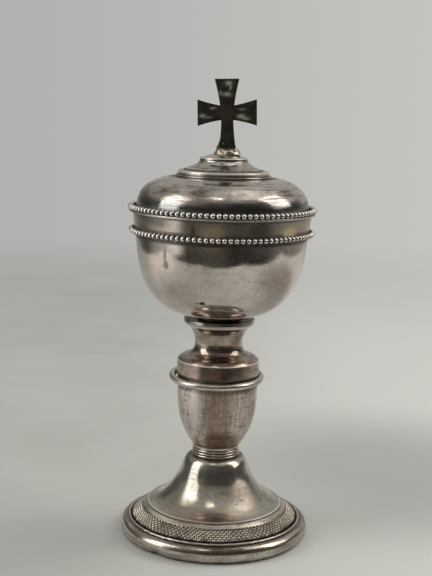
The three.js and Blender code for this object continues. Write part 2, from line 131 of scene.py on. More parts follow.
# Camera, fitted to the photograph's ellipses
CAMERA_DISTANCE = 0.4745
CAMERA_HEIGHT = 0.1871
CAMERA_PITCH = math.radians(9.435)
CAMERA_ROLL = math.radians(1.60)
CAMERA_PAN = math.radians(-0.217)
FOCAL_PIXELS = 1123.1
FRAME_HEIGHT = 576
SENSOR = 36.0


# Outlines

def weighted(knots, weights):
    return tuple(sum(w * knot[axis] for w, knot in zip(weights, knots)) for axis in (0, 1))


def curve(start, start_handle, end_handle, end, steps):
    """Points of a cubic curve."""
    points = []
    for i in range(steps + 1):
        t = i / steps
        weights = ((1 - t) ** 3, 3 * t * (1 - t) ** 2, 3 * t * t * (1 - t), t ** 3)
        points.append(weighted((start, start_handle, end_handle, end), weights))
    return points


def bow(start, handle, end):
    """Points of a simple bend, without its end."""
    steps = 8
    points = []
    for i in range(steps):
        t = i / steps
        points.append(weighted((start, handle, end), ((1 - t) ** 2, 2 * t * (1 - t), t ** 2)))
    return points


def eased(outline):
    """An outline whose corners with a third number are rounded by about that size."""
    steps = 5
    points = []
    for i, corner in enumerate(outline):
        here = Vector(corner[:2])
        if len(corner) < 3:
            points.append(here)
            continue
        before = Vector(outline[i - 1][:2]) - here
        after = Vector(outline[(i + 1) % len(outline)][:2]) - here
        start = here + before.normalized() * min(corner[2], before.length * 0.45)
        end = here + after.normalized() * min(corner[2], after.length * 0.45)
        for j in range(steps + 1):
            t = j / steps
            points.append((1 - t) ** 2 * start + 2 * t * (1 - t) * here + t * t * end)
    return points


def inside(outer, low, high):
    """Inner face, between two levels, of a sheet wall whose outer face runs upward. It runs down."""
    face = []
    for i, (radius, height) in enumerate(outer):
        before = Vector(outer[max(i - 1, 0)])
        after = Vector(outer[min(i + 1, len(outer) - 1)])
        along = (after - before).normalized() * SHEET_WALL
        if low < height + along.x < high:
            face.append((radius - along.y, height + along.x))
    return face[::-1]


def wire_outline(centre_radius, height, wire_radius, sides=24):
    angles = [2 * math.pi * i / sides for i in range(sides)]
    return [
        (centre_radius + wire_radius * math.cos(angle), height + wire_radius * math.sin(angle))
        for angle in angles
    ]


# Meshes

def polar(radius, angle, height):
    return Vector((radius * math.cos(angle), radius * math.sin(angle), height))


def drift(point):
    """Slow unevenness of hand-finished metal, the same for pieces that touch."""
    slow = noise.noise_vector(point / DRIFT_LENGTH) * DRIFT_SIZE
    slow.z *= min(1.0, abs(point.z) / DRIFT_START)
    return slow


def skin(rings, closed=False):
    """Points and faces of a surface through rings of points. A ring of one point is a pole."""
    points = []
    numbers = []
    for ring in rings:
        numbers.append(range(len(points), len(points) + len(ring)))
        points += ring
    pairs = list(zip(numbers, numbers[1:]))
    if closed:
        pairs.append((numbers[-1], numbers[0]))
    faces = []
    for low, high in pairs:
        facets = max(len(low), len(high))
        for i in range(facets):
            j = (i + 1) % facets
            if len(low) == 1:
                faces.append((low[0], high[j], high[i]))
            elif len(high) == 1:
                faces.append((low[i], low[j], high[0]))
            else:
                faces.append((low[i], low[j], high[j], high[i]))
    return points, faces


def linked(name, data):
    obj = bpy.data.objects.new(name, data)
    bpy.context.collection.objects.link(obj)
    return obj


def piece(node, body, material, points, faces, even=False, pits_and_shade=None):
    """The finer piece that stands in for a CAD node. The last argument holds each point's share of
    darkening, partly tarnish and soiling and partly painted shade.
    """
    if not even:
        points = [point + drift(point) for point in points]
    mesh = bpy.data.meshes.new(node + "_piece")
    mesh.from_pydata([point * MM for point in points], [], faces)
    mesh.polygons.foreach_set("use_smooth", [True] * len(mesh.polygons))
    mesh.update()
    mesh.set_sharp_from_angle(angle=SHARP_ANGLE)
    if pits_and_shade:
        layer = mesh.attributes.new("pits_and_shade", "FLOAT", "POINT")
        layer.data.foreach_set("value", pits_and_shade)
    mesh.materials.append(material)
    obj = linked(node + "_piece", mesh)
    normals = obj.modifiers.new("normals", "WEIGHTED_NORMAL")
    normals.keep_sharp = True
    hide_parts(node)
    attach(obj, body)
    return obj


def turned(node, body, material, outline, facets, radius_at=None, even=False):
    """A piece turned about the Z axis. radius_at(radius, angle, height) may vary its radius.

    An outline that starts on the axis ends on it too. Any other one closes on itself.
    """
    rings = []
    for radius, height in eased(outline):
        ring = []
        for i in range(facets if radius > 0 else 1):
            angle = 2 * math.pi * i / facets
            reach = radius_at(radius, angle, height) if radius_at and radius > 0 else radius
            ring.append(polar(reach, angle, height))
        rings.append(ring)
    points, faces = skin(rings, closed=outline[0][0] > 0)
    return piece(node, body, material, points, faces, even)


# Materials

class Tree:
    """Adds nodes to a material or a world, with links or plain values for their inputs."""

    def __init__(self, owner):
        owner.use_nodes = True
        self.owner = owner
        self.nodes = owner.node_tree.nodes
        self.links = owner.node_tree.links
        self.shader = self.nodes.get("Principled BSDF") or self.nodes["Background"]

    def add(self, kind, settings=None, **inputs):
        node = self.nodes.new("ShaderNode" + kind)
        for key, value in (settings or {}).items():
            setattr(node, key, value)
        for key, value in inputs.items():
            self.set(node, key, value)
        return node

    def set(self, node, key, value):
        socket = node.inputs[int(key)] if key.isdigit() else node.inputs[key]
        if isinstance(value, bpy.types.NodeSocket):
            self.links.new(value, socket)
        else:
            socket.default_value = value

    def paint(self, **inputs):
        """Sets the shader's inputs, with _ for a space."""
        for key, value in inputs.items():
            self.set(self.shader, key.replace("_", " "), value)

    def operation(self, kind, operation, values):
        inputs = {str(i): value for i, value in enumerate(values)}
        return self.add(kind, {"operation": operation}, **inputs)

    def math(self, operation, *values):
        return self.operation("Math", operation, values).outputs[0]

    def plus(self, a, b):
        return self.math("ADD", a, b)

    def minus(self, a, b):
        return self.math("SUBTRACT", a, b)

    def times(self, a, b):
        return self.math("MULTIPLY", a, b)

    def most(self, a, b):
        return self.math("MAXIMUM", a, b)

    def vector(self, operation, *values):
        return self.operation("VectorMath", operation, values)

    def gap(self, where, centre):
        return self.vector("DISTANCE", where, centre).outputs["Value"]

    def mix(self, factor, a, b):
        return self.add("Mix", {"data_type": "RGBA"}, **{"0": factor, "6": a, "7": b}).outputs[2]

    def span(self, value, low, high, to_low=0.0, to_high=1.0, smooth=True):
        """A value's range from low to high, mapped to another and clamped."""
        settings = {"interpolation_type": "SMOOTHSTEP" if smooth else "LINEAR"}
        keys = ("Value", "From Min", "From Max", "To Min", "To Max")
        inputs = dict(zip(keys, (value, low, high, to_low, to_high)))
        return self.add("MapRange", settings, **inputs).outputs[0]

    def place_mm(self):
        """The surface point in millimetres, in the piece's own frame. At rest that is the row frame."""
        scale = self.vector("SCALE", self.nodes.new("ShaderNodeTexCoord").outputs["Object"])
        scale.inputs["Scale"].default_value = 1 / MM
        return scale.outputs[0]

    def noise(self, where, scale, detail=4.0, roughness=0.5, distortion=0.0, offset=None):
        if offset:
            where = self.vector("ADD", where, offset).outputs[0]
        inputs = {"Scale": scale, "Detail": detail, "Roughness": roughness, "Distortion": distortion}
        return self.add("TexNoise", Vector=where, **inputs).outputs[0]

    def ragged_blot(self, where, centre, reach, fray, low, high):
        """Distance from a centre as a share of the half-widths there, frayed by a noise."""
        away = self.vector("SUBTRACT", where, centre)
        shrunk = self.vector("DIVIDE", away.outputs[0], reach)
        share = self.vector("LENGTH", shrunk.outputs[0]).outputs["Value"]
        return self.plus(share, self.span(fray, 0.3, 0.7, low, high, False))


# Near-black tone for soiling and single marks, and for painted shade in corners, gaps and under overhangs
DIRT_AND_SHADE = (0.045, 0.04, 0.034)
# Dark teal, a painted reflection of the dark room on the dome above its beads
TEAL_REFLECTION = (0.16, 0.19, 0.19)
# Pale rubbed-metal tone, laid in rings as painted highlights on rims and edges
WORN_AND_HIGHLIGHT = (0.84, 0.76, 0.71)
# Pale cream tone, laid in rings as a painted sheen on the cup's lip and the foot's plain strip
CREAM_SHEEN = (0.53, 0.50, 0.38)
GOLDEN = (0.56, 0.44, 0.29)
GILT = (0.70, 0.54, 0.30)


def toned(tone, share):
    return tuple(channel * share for channel in tone)


class Silver(Tree):
    """Aged silver, laid on in layers that change one colour, one roughness and one height."""

    def __init__(self, name, seed):
        super().__init__(bpy.data.materials.new(name))
        self.where = self.place_mm()
        self.seed = seed
        self.offset = (seed, seed * 0.7, seed * 1.3)
        self.patches = self.noise(self.where, 0.045, 5.0, 0.62, 0.4, self.offset)
        self.cloud = self.noise(self.where, 0.22, 5.0, 0.65, 0.3, self.offset)
        self.grain = self.noise(self.where, 1.5, 4.0, 0.65, 0.0, self.offset)
        self.fleck = self.noise(self.where, 3.4, 3.0, 0.75, 0.6, self.offset)
        self.height = self.times(self.noise(self.where, 0.05, 2.0, 0.4, 0.0, self.offset), 0.5)

    def tint(self, factor, tone):
        self.colour = self.mix(factor, self.colour, (*tone, 1))

    def roughen(self, factor, amount):
        self.rough = self.plus(self.rough, self.times(factor, amount))

    def metal(self, clean, brown, tarnish, roughness, mottle):
        """Warm and cool metal, then tarnish in patches, clouds and specks."""
        warm = self.noise(self.where, 0.09, 4.0, 0.6, 0.5, (11.0 + self.seed, 5.0, 2.0))
        cool_metal = (clean[0] * 0.92, clean[1] * 0.95, clean[2] * 0.97, 1)
        self.colour = self.mix(self.span(warm, 0.38, 0.62), cool_metal, (*clean, 1))
        dulled = self.span(self.patches, 0.66 - 0.35 * tarnish, 0.86 - 0.35 * tarnish)
        dulled = self.times(dulled, self.span(self.cloud, 0.3, 0.65, 0.5, 1.0))
        self.tint(self.times(dulled, 0.9), brown)
        shade = self.span(self.cloud, 0.35, 0.68, 0.0, mottle * 0.3)
        shade = self.plus(shade, self.span(self.grain, 0.48, 0.7, 0.0, mottle * 0.5))
        shade = self.plus(shade, self.span(self.fleck, 0.56, 0.7, 0.0, mottle * 0.8))
        self.tint(shade, toned(brown, 0.7))
        self.rough = self.span(self.cloud, 0.3, 0.7, roughness * 0.7, roughness * 1.4)
        self.roughen(dulled, 0.06)
        self.roughen(shade, 0.15)

    def round_place(self, round_scale, up_scale):
        """Directions round the Z axis and heights, each with its own scale, for lines up or round."""
        x, y, z = self.add("SeparateXYZ", Vector=self.where).outputs
        radius = self.math("SQRT", self.plus(self.times(x, x), self.times(y, y)))
        radius = self.most(radius, 0.01)
        joined = self.add(
            "CombineXYZ",
            X=self.times(self.math("DIVIDE", x, radius), round_scale),
            Y=self.times(self.math("DIVIDE", y, radius), round_scale),
            Z=self.times(self.plus(z, radius), up_scale),
        )
        return joined.outputs[0]

    def polish(self, crossed, depth, brown):
        """Polishing lines round the piece, which lines up the piece may cross."""
        strokes = self.noise(self.round_place(2.4, 4.0), 1.0, 4.0, 0.7)
        bands = self.noise(self.round_place(1.6, 0.9), 1.0, 4.0, 0.65, 0.0, self.offset)
        streaks = self.times(self.span(strokes, 0.45, 0.68), depth)
        if crossed:
            upright = self.noise(self.round_place(27.0, 0.1), 1.0, 3.0, 0.8)
            strokes = self.plus(self.times(strokes, 0.4), upright)
            streaks = self.times(streaks, 0.4)
            streaks = self.plus(streaks, self.span(upright, 0.42, 0.64, 0.0, depth))
        self.height = self.plus(self.height, self.times(strokes, 0.12 * depth))
        streaks = self.plus(streaks, self.span(bands, 0.48, 0.72, 0.0, depth))
        self.tint(streaks, toned(brown, 0.6))
        self.roughen(streaks, 0.15)

    def scratch(self):
        """Hairline scratches and small holes."""
        winding = self.noise(self.where, 0.16, 2.0, 0.5, 1.2, (self.seed + 3.0, self.seed, 7.0))
        hairs = self.span(self.math("ABSOLUTE", self.minus(winding, 0.5)), 0.0, 0.011, 1.0, 0.0)
        self.hairs = self.times(hairs, self.span(self.grain, 0.42, 0.55))
        self.tint(self.times(self.hairs, 0.35), (0.16, 0.13, 0.11))
        holes = self.add("TexVoronoi", Vector=self.where, Scale=0.42, Randomness=1.0)
        hole = self.span(holes.outputs["Distance"], 0.05, 0.11, 1.0, 0.0)
        self.hole = self.times(hole, self.span(self.cloud, 0.52, 0.6))
        self.tint(self.times(self.hole, 0.75), (0.07, 0.055, 0.045))

    def soil(self, grime_and_shade, reach, rings, spots, dullness):
        """Darkening in corners and at each point's stored share, partly soiling and partly painted shade,
        then rings and single marks, and matt rings of rubbed metal, painted highlight and painted sheen.
        """
        # The ambient occlusion darkens corners, gaps and hollows: partly soiling, partly painted shade
        corner = self.add("AmbientOcclusion", {"samples": 6}, Distance=reach * MM)
        corner_grime_and_shade = self.span(corner.outputs["AO"], 0.35, 0.95, 1.0, 0.0)
        dirt_and_shade = self.times(self.times(corner_grime_and_shade, self.span(self.cloud, 0.25, 0.6, 0.7, 1.0)), grime_and_shade)
        held = self.add("Attribute", {"attribute_name": "pits_and_shade"})
        dirt_and_shade = self.most(dirt_and_shade, held.outputs["Fac"])
        z = self.add("SeparateXYZ", Vector=self.where).outputs[2]
        self.matt = dullness
        for height, half_width, amount, tone in rings:
            near = self.math("ABSOLUTE", self.minus(z, height))
            near = self.span(near, half_width * 0.35, half_width, 1.0, 0.0)
            near = self.times(near, self.span(self.grain, 0.3, 0.62, amount * 0.65, amount))
            if tone == DIRT_AND_SHADE:
                dirt_and_shade = self.most(dirt_and_shade, near)
                continue
            self.tint(near, tone)
            if tone in (WORN_AND_HIGHLIGHT, CREAM_SHEEN):
                self.matt = self.most(self.matt, near)
        for centre, half_widths, amount in spots:
            mark = self.ragged_blot(self.where, centre, half_widths, self.grain, -0.3, 0.5)
            dirt_and_shade = self.most(dirt_and_shade, self.span(mark, 0.6, 1.2, amount, 0.0))
        self.tint(dirt_and_shade, DIRT_AND_SHADE)
        self.roughen(dirt_and_shade, 0.3)
        if self.matt:
            self.roughen(self.matt, 0.25)

    def stain(self, centre, half_widths, amount, tone, dulled_by):
        """A wide soft patch of colour and roughness: tarnish, paler metal, and painted reflections and
        highlights.
        """
        patch = self.ragged_blot(self.where, centre, half_widths, self.cloud, -0.1, 0.1)
        patch = self.span(patch, 0.35, 1.0, 1.0, 0.0)
        self.roughen(patch, dulled_by)
        self.tint(self.times(patch, self.span(self.grain, 0.36, 0.62, amount * 0.6, amount)), tone)

    def gild(self, towards):
        """Worn gilt on the faces that look at a point inside the piece."""
        faces = self.nodes.new("ShaderNodeTexCoord").outputs["Normal"]
        to_point = self.vector("SUBTRACT", towards, self.where)
        looks = self.vector("DOT_PRODUCT", faces, to_point.outputs[0])
        gilt = self.span(looks.outputs["Value"], 0.0, 0.5, 0.0, 1.0)
        self.tint(self.times(gilt, self.span(self.grain, 0.36, 0.6, 1.0, 0.55)), GILT)

    def finish(self):
        self.height = self.plus(self.height, self.times(self.grain, 0.02))
        self.height = self.minus(self.height, self.times(self.hole, 0.05))
        self.height = self.minus(self.height, self.times(self.hairs, 0.02))
        bump = self.add("Bump", Strength=0.35, Distance=0.6 * MM, Height=self.height)
        if isinstance(self.matt, float):
            metallic = 1.0 - 0.6 * self.matt
        else:
            metallic = self.minus(1.0, self.times(self.matt, 0.6))
        self.paint(Base_Color=self.colour, Roughness=self.rough, Metallic=metallic, Normal=bump.outputs[0])
        return self.owner


def silver(
    name,
    seed,
    clean,
    tarnish,
    roughness,
    brown=(0.34, 0.265, 0.205),
    mottle=0.5,
    dullness=0.0,
    lines=None,
    line_depth=0.15,
    grime_and_shade=0.8,
    grime_and_shade_reach=2.0,
    rings=(),
    spots=(),
    stains_and_reflections=(),
    gilt_towards=None,
):
    """A silver material.

    dullness is the share of matt, worn metal all over the piece.
    lines is None, "round" or "crossed".
    rings holds (height, half-width, amount, colour) of tarnish, soiling and rubbed metal round the piece,
    and of painted shade, highlight, sheen and reflection.
    spots holds (place, half-widths, amount) of single dark marks.
    The wide soft patches are given as (place, half-widths, amount, colour, added roughness); some are
    tarnish and some paint reflections and highlights.
    gilt_towards is a point inside the piece that its gilt faces look at.
    """
    look = Silver(name, seed)
    look.metal(clean, brown, tarnish, roughness, mottle)
    if lines:
        look.polish(lines == "crossed", line_depth, brown)
    look.scratch()
    look.soil(grime_and_shade, grime_and_shade_reach, rings, spots, dullness)
    for stain in stains_and_reflections:
        look.stain(*stain)
    if gilt_towards:
        look.gild(gilt_towards)
    return look.finish()


# Pit with a short tail low on the bowl, a smear on its left and a rubbed spot on its right
BOWL_MARKS = (
    ((-7.1, -29.2, 106.5), (1.3, 2.0, 1.0), 1.0),
    ((-9.1, -28.7, 106.4), (1.0, 2.0, 0.35), 0.75),
    ((-22.6, -28.4, 125.2), (0.9, 2.0, 5.2), 0.5),
    ((-22.3, -28.0, 121.6), (1.5, 2.0, 2.2), 0.6),
    ((24.4, -26.9, 129.5), (1.9, 2.0, 1.0), 0.55),
    ((26.0, -25.4, 128.3), (1.9, 2.0, 1.2), 0.5),
    ((23.2, -27.8, 128.1), (1.2, 2.0, 0.8), 0.45),
)
# Tarnish on the lip, partly painted reflection: grey at its upper left, black at the left, pale in front,
# olive and then pale gold at the right
LIP_TARNISH_AND_REFLECTIONS = (
    ((-26.0, -27.0, 139.2), (11.0, 9.0, 3.0), 0.8, (0.22, 0.22, 0.20), 0.0),
    ((-11.4, -36.0, 136.0), (1.5, 4.0, 5.0), 0.75, (0.10, 0.09, 0.075), 0.0),
    ((-4.0, -37.0, 136.0), (7.0, 5.0, 4.0), 0.6, (0.98, 0.83, 0.62), 0.06),
    ((15.0, -34.4, 137.0), (7.0, 6.0, 5.0), 0.8, (0.17, 0.16, 0.11), 0.0),
    ((27.5, -25.6, 135.8), (5.5, 6.0, 3.4), 0.85, (0.99, 0.84, 0.58), 0.06),
)
SILVER_BOWL = silver(
    "silver_bowl",
    clean=(0.735, 0.65, 0.595),
    tarnish=0.25, roughness=0.035, mottle=0.6,
    lines="round", line_depth=0.17,
    rings=(
        # Golden tarnish and a painted cream sheen on the lip; painted shade under the lid's flange, below
        # the lower beads and where the bowl meets the disc; a dark line above the lower beads
        (136.6, 5.5, 0.32, GOLDEN),
        (136.6, 5.5, 0.17, CREAM_SHEEN),
        (140.9, 1.2, 0.85, DIRT_AND_SHADE),
        (134.8, 0.9, 0.75, DIRT_AND_SHADE),
        (131.3, 1.5, 0.95, DIRT_AND_SHADE),
        (96.8, 1.2, 0.8, DIRT_AND_SHADE),
    ),
    spots=BOWL_MARKS,
    stains_and_reflections=LIP_TARNISH_AND_REFLECTIONS,
    gilt_towards=(0.0, 0.0, 125.0),
    seed=3.0,
)
SILVER_DOME = silver(
    "silver_dome",
    clean=(0.87, 0.795, 0.735),
    tarnish=0.33, roughness=0.11, mottle=0.8,
    lines="round", line_depth=0.75,
    # Painted reflection of the dark room in teal above the beads, painted shade at the dome's foot and a
    # dark line under the mount
    rings=((144.0, 4.5, 0.85, TEAL_REFLECTION), (142.0, 2.6, 0.95, DIRT_AND_SHADE), (156.0, 0.5, 0.8, DIRT_AND_SHADE)),
    seed=9.0,
)
SILVER_STEM = silver(
    "silver_stem",
    clean=(0.59, 0.475, 0.405), brown=(0.17, 0.12, 0.09),
    tarnish=0.52, roughness=0.11, mottle=0.9,
    lines="round", line_depth=0.5,
    # Painted highlights on the drum's top edge and on the spool's lip, and a dark groove under the drum,
    # partly soiling and partly painted shade
    rings=((77.4, 0.3, 0.8, WORN_AND_HIGHLIGHT), (71.2, 0.8, 0.8, DIRT_AND_SHADE), (93.1, 0.75, 0.85, WORN_AND_HIGHLIGHT)),
    seed=15.0,
)
SILVER_DISC = silver(
    "silver_disc",
    clean=(0.62, 0.56, 0.50), brown=(0.10, 0.08, 0.06),
    tarnish=0.4, roughness=0.1, mottle=0.6,
    grime_and_shade=0.9,
    seed=17.0,
)
SILVER_VASE = silver(
    "silver_vase",
    clean=(0.90, 0.775, 0.70), brown=(0.22, 0.155, 0.11),
    tarnish=0.2, roughness=0.1, mottle=0.5, dullness=0.25,
    lines="crossed", line_depth=0.6,
    # Painted shade under the knop wire and a dark band at the vase's foot
    rings=((67.6, 3.0, 0.75, DIRT_AND_SHADE), (40.0, 1.8, 0.85, DIRT_AND_SHADE)),
    stains_and_reflections=(
        # Brown in the middle and lower middle, partly tarnish and partly painted reflection, greyer tone
        # at both sides, and a pale column on the left that is a painted reflection
        ((0.8, -17.0, 56.0), (10.0, 10.0, 26.0), 0.95, (0.25, 0.175, 0.12), 0.04),
        ((2.0, -12.0, 43.0), (12.0, 9.0, 8.0), 0.85, (0.27, 0.175, 0.095), 0.0),
        ((-16.8, -4.0, 55.0), (4.0, 9.0, 18.0), 0.7, (0.36, 0.30, 0.25), 0.0),
        ((-9.6, -14.0, 58.0), (3.4, 6.0, 15.0), 0.75, (0.97, 0.87, 0.80), 0.0),
        ((16.8, -4.0, 55.0), (5.0, 9.0, 18.0), 0.6, (0.36, 0.30, 0.25), 0.0),
    ),
    seed=21.0,
)
# Scratches that cross like a star on the right of the bell
BELL_MARKS = (
    ((10.6, -16.0, 22.5), (0.35, 3.0, 2.6), 0.3),
    ((11.6, -16.5, 19.6), (1.8, 3.0, 0.35), 0.45),
    ((9.6, -18.0, 18.6), (1.2, 3.0, 0.4), 0.45),
    ((13.0, -14.5, 21.2), (0.3, 3.0, 1.8), 0.25),
)
SILVER_BELL = silver(
    "silver_bell",
    clean=(0.65, 0.605, 0.52), brown=(0.25, 0.205, 0.15),
    tarnish=0.36, roughness=0.085, mottle=0.55, dullness=0.1,
    lines="round", line_depth=0.35,
    # Dark lines at the flange's foot and under the collar, and a painted highlight along the flange's edge
    rings=((13.4, 0.3, 0.8, DIRT_AND_SHADE), (13.95, 0.2, 0.75, WORN_AND_HIGHLIGHT), (35.2, 1.0, 0.7, DIRT_AND_SHADE)),
    spots=BELL_MARKS,
    stains_and_reflections=(
        ((12.5, -15.0, 21.0), (10.0, 10.0, 10.0), 0.9, (0.33, 0.26, 0.225), 0.22),
        ((-4.0, -25.0, 14.6), (26.0, 12.0, 4.5), 0.85, (0.38, 0.30, 0.24), 0.05),
    ),
    seed=27.0,
)
SILVER_FOOT = silver(
    "silver_foot",
    clean=(0.80, 0.71, 0.635), brown=(0.27, 0.21, 0.16),
    tarnish=0.5, roughness=0.14, mottle=0.9,
    lines="round", line_depth=0.8,
    # A darker bottom edge, painted shade on the ledge under the fillet wire and a painted cream sheen on
    # the plain strip
    rings=((0.2, 1.0, 0.7, DIRT_AND_SHADE), (7.05, 0.25, 0.85, DIRT_AND_SHADE), (12.75, 0.6, 0.3, CREAM_SHEEN)),
    # A painted highlight on the plain strip at the left front
    stains_and_reflections=(((-24.0, -20.0, 12.6), (12.0, 10.0, 1.0), 0.85, (0.80, 0.76, 0.62), 0.1),),
    spots=(((-24.6, -32.0, 1.2), (2.6, 2.0, 0.8), 0.9), ((-20.5, -35.0, 0.9), (1.6, 1.5, 0.5), 0.8)),
    seed=33.0,
)
SILVER_BAND = silver(
    "silver_band",
    clean=(0.82, 0.74, 0.62), brown=(0.25, 0.195, 0.135),
    tarnish=0.5, roughness=0.24, mottle=0.8,
    # Strong darkening in corners and painted shade along the outer edge, partly tarnish and partly painted
    # shade
    grime_and_shade=1.0, grime_and_shade_reach=0.9,
    rings=((7.8, 0.6, 0.8, DIRT_AND_SHADE),),
    seed=35.0,
)
SILVER_TRIM = silver(
    "silver_trim",
    clean=(0.76, 0.70, 0.61), brown=(0.3, 0.24, 0.17),
    tarnish=0.4, roughness=0.24,
    grime_and_shade=0.95, grime_and_shade_reach=1.2,
    seed=39.0,
)
SILVER_FLANGE = silver(
    "silver_flange",
    clean=(0.86, 0.785, 0.73), brown=(0.4, 0.33, 0.27),
    tarnish=0.3, roughness=0.3,
    grime_and_shade=0.6, grime_and_shade_reach=0.6,
    seed=40.0,
)
SILVER_COLLAR = silver(
    "silver_collar",
    clean=(0.74, 0.655, 0.555), brown=(0.24, 0.18, 0.125),
    tarnish=0.4, roughness=0.12,
    grime_and_shade=0.95, grime_and_shade_reach=1.0,
    seed=43.0,
)
SILVER_MOUNT = silver(
    "silver_mount",
    clean=(0.92, 0.86, 0.78), brown=(0.26, 0.21, 0.155),
    tarnish=0.55, roughness=0.11, mottle=0.9,
    lines="round", line_depth=0.75,
    grime_and_shade=0.95, grime_and_shade_reach=1.4,
    rings=(
        # Dark lines round the mount, and painted highlights on two of its rims
        (156.85, 0.3, 0.95, DIRT_AND_SHADE),
        (158.0, 0.6, 0.75, WORN_AND_HIGHLIGHT),
        (158.95, 0.4, 0.95, DIRT_AND_SHADE),
        (159.9, 0.22, 0.6, DIRT_AND_SHADE),
        (160.7, 0.2, 0.45, DIRT_AND_SHADE),
        (162.2, 0.25, 0.5, DIRT_AND_SHADE),
        (163.0, 0.4, 0.8, DIRT_AND_SHADE),
        (163.7, 0.35, 0.7, WORN_AND_HIGHLIGHT),
    ),
    seed=41.0,
)
SILVER_BEADS = silver(
    "silver_beads",
    clean=(0.99, 0.925, 0.885), brown=(0.5, 0.42, 0.36),
    tarnish=0.15, roughness=0.22, mottle=0.4,
    # Strong darkening round the beads, partly soiling and partly painted shade
    grime_and_shade=1.0, grime_and_shade_reach=1.6,
    seed=45.0,
)
SILVER_RING = silver(
    "silver_ring",
    clean=(0.76, 0.70, 0.63), brown=(0.34, 0.29, 0.23),
    tarnish=0.4, roughness=0.24,
    grime_and_shade=0.9, grime_and_shade_reach=1.5,
    seed=47.0,
)
BRASS = silver(
    "brass",
    clean=(0.62, 0.47, 0.25), brown=(0.3, 0.2, 0.1),
    tarnish=0.5, roughness=0.3,
    seed=51.0,
)
SOLDER = silver(
    "solder",
    clean=(0.90, 0.85, 0.72), brown=(0.20, 0.12, 0.075),
    tarnish=0.75, roughness=0.35, mottle=0.7,
    grime_and_shade_reach=1.0,
    spots=(((4.0, -3.6, 166.6), (1.2, 1.2, 1.2), 0.7), ((-1.6, -4.4, 167.2), (0.9, 0.9, 0.9), 0.6)),
    seed=53.0,
)


# Worn smears on the front of the cross, as (place, half-widths, strength)
CROSS_WEAR = (
    ((1.1, -0.9, 194.6), (2.3, 3.0, 1.7), 0.9),
    ((1.9, -0.9, 193.0), (1.0, 3.0, 1.6), 0.8),
    ((0.6, -0.9, 190.1), (2.9, 3.0, 1.3), 0.9),
    ((-2.2, -0.9, 190.6), (1.2, 3.0, 1.5), 0.5),
    ((-9.4, -0.9, 181.0), (2.2, 3.0, 1.2), 0.9),
    ((-7.0, -0.9, 180.4), (2.4, 3.0, 0.7), 0.5),
    ((-5.0, -0.9, 184.2), (2.3, 3.0, 0.9), 0.5),
    ((6.7, -0.9, 181.2), (2.3, 3.0, 1.3), 1.0),
    ((8.6, -0.9, 180.4), (2.2, 3.0, 1.0), 0.9),
    ((6.9, -0.9, 184.1), (2.1, 3.0, 0.7), 0.45),
    ((-0.6, -0.9, 169.9), (0.5, 3.0, 0.5), 0.8),
)
CROSSING = (0.0, -0.9, 183.0)


def blackened():
    """Black patina worn through to olive and cream metal in smears, reddish at the crossing."""
    tree = Tree(bpy.data.materials.new("blackened"))
    where = tree.place_mm()
    cloud = tree.noise(where, 0.35, 5.0, 0.65, 1.0, (4.0, 1.0, 2.0))
    grain = tree.noise(where, 1.3, 5.0, 0.75, 1.2)
    base = tree.mix(tree.span(cloud, 0.35, 0.7), (0.010, 0.0095, 0.008, 1), (0.028, 0.025, 0.018, 1))
    rust = tree.span(tree.gap(where, CROSSING), 1.5, 4.5, 0.75, 0.0)
    base = tree.mix(rust, base, (0.045, 0.019, 0.013, 1))
    worn = 0.0
    for centre, half_widths, strength in CROSS_WEAR:
        smear = tree.ragged_blot(where, centre, half_widths, grain, -1.0, 1.3)
        worn = tree.most(worn, tree.span(smear, 0.6, 1.0, strength, 0.0))
    olive = tree.mix(tree.span(grain, 0.4, 0.6), (0.12, 0.12, 0.06, 1), (0.72, 0.70, 0.55, 1))
    bump = tree.add("Bump", Strength=0.5, Distance=0.4 * MM, Height=tree.times(grain, 0.25))
    rough = tree.span(cloud, 0.3, 0.7, 0.42, 0.62)
    metallic = tree.span(worn, 0.0, 1.0, 0.15, 0.35)
    colour = tree.mix(worn, base, olive)
    tree.paint(Base_Color=colour, Roughness=rough, Metallic=metallic, Normal=bump.outputs[0])
    return tree.owner


BLACKENED = blackened()


# Foot

def shelf_at(radius):
    return SEAT - SHELF_SLOPE * (radius - SEAT_RADIUS)


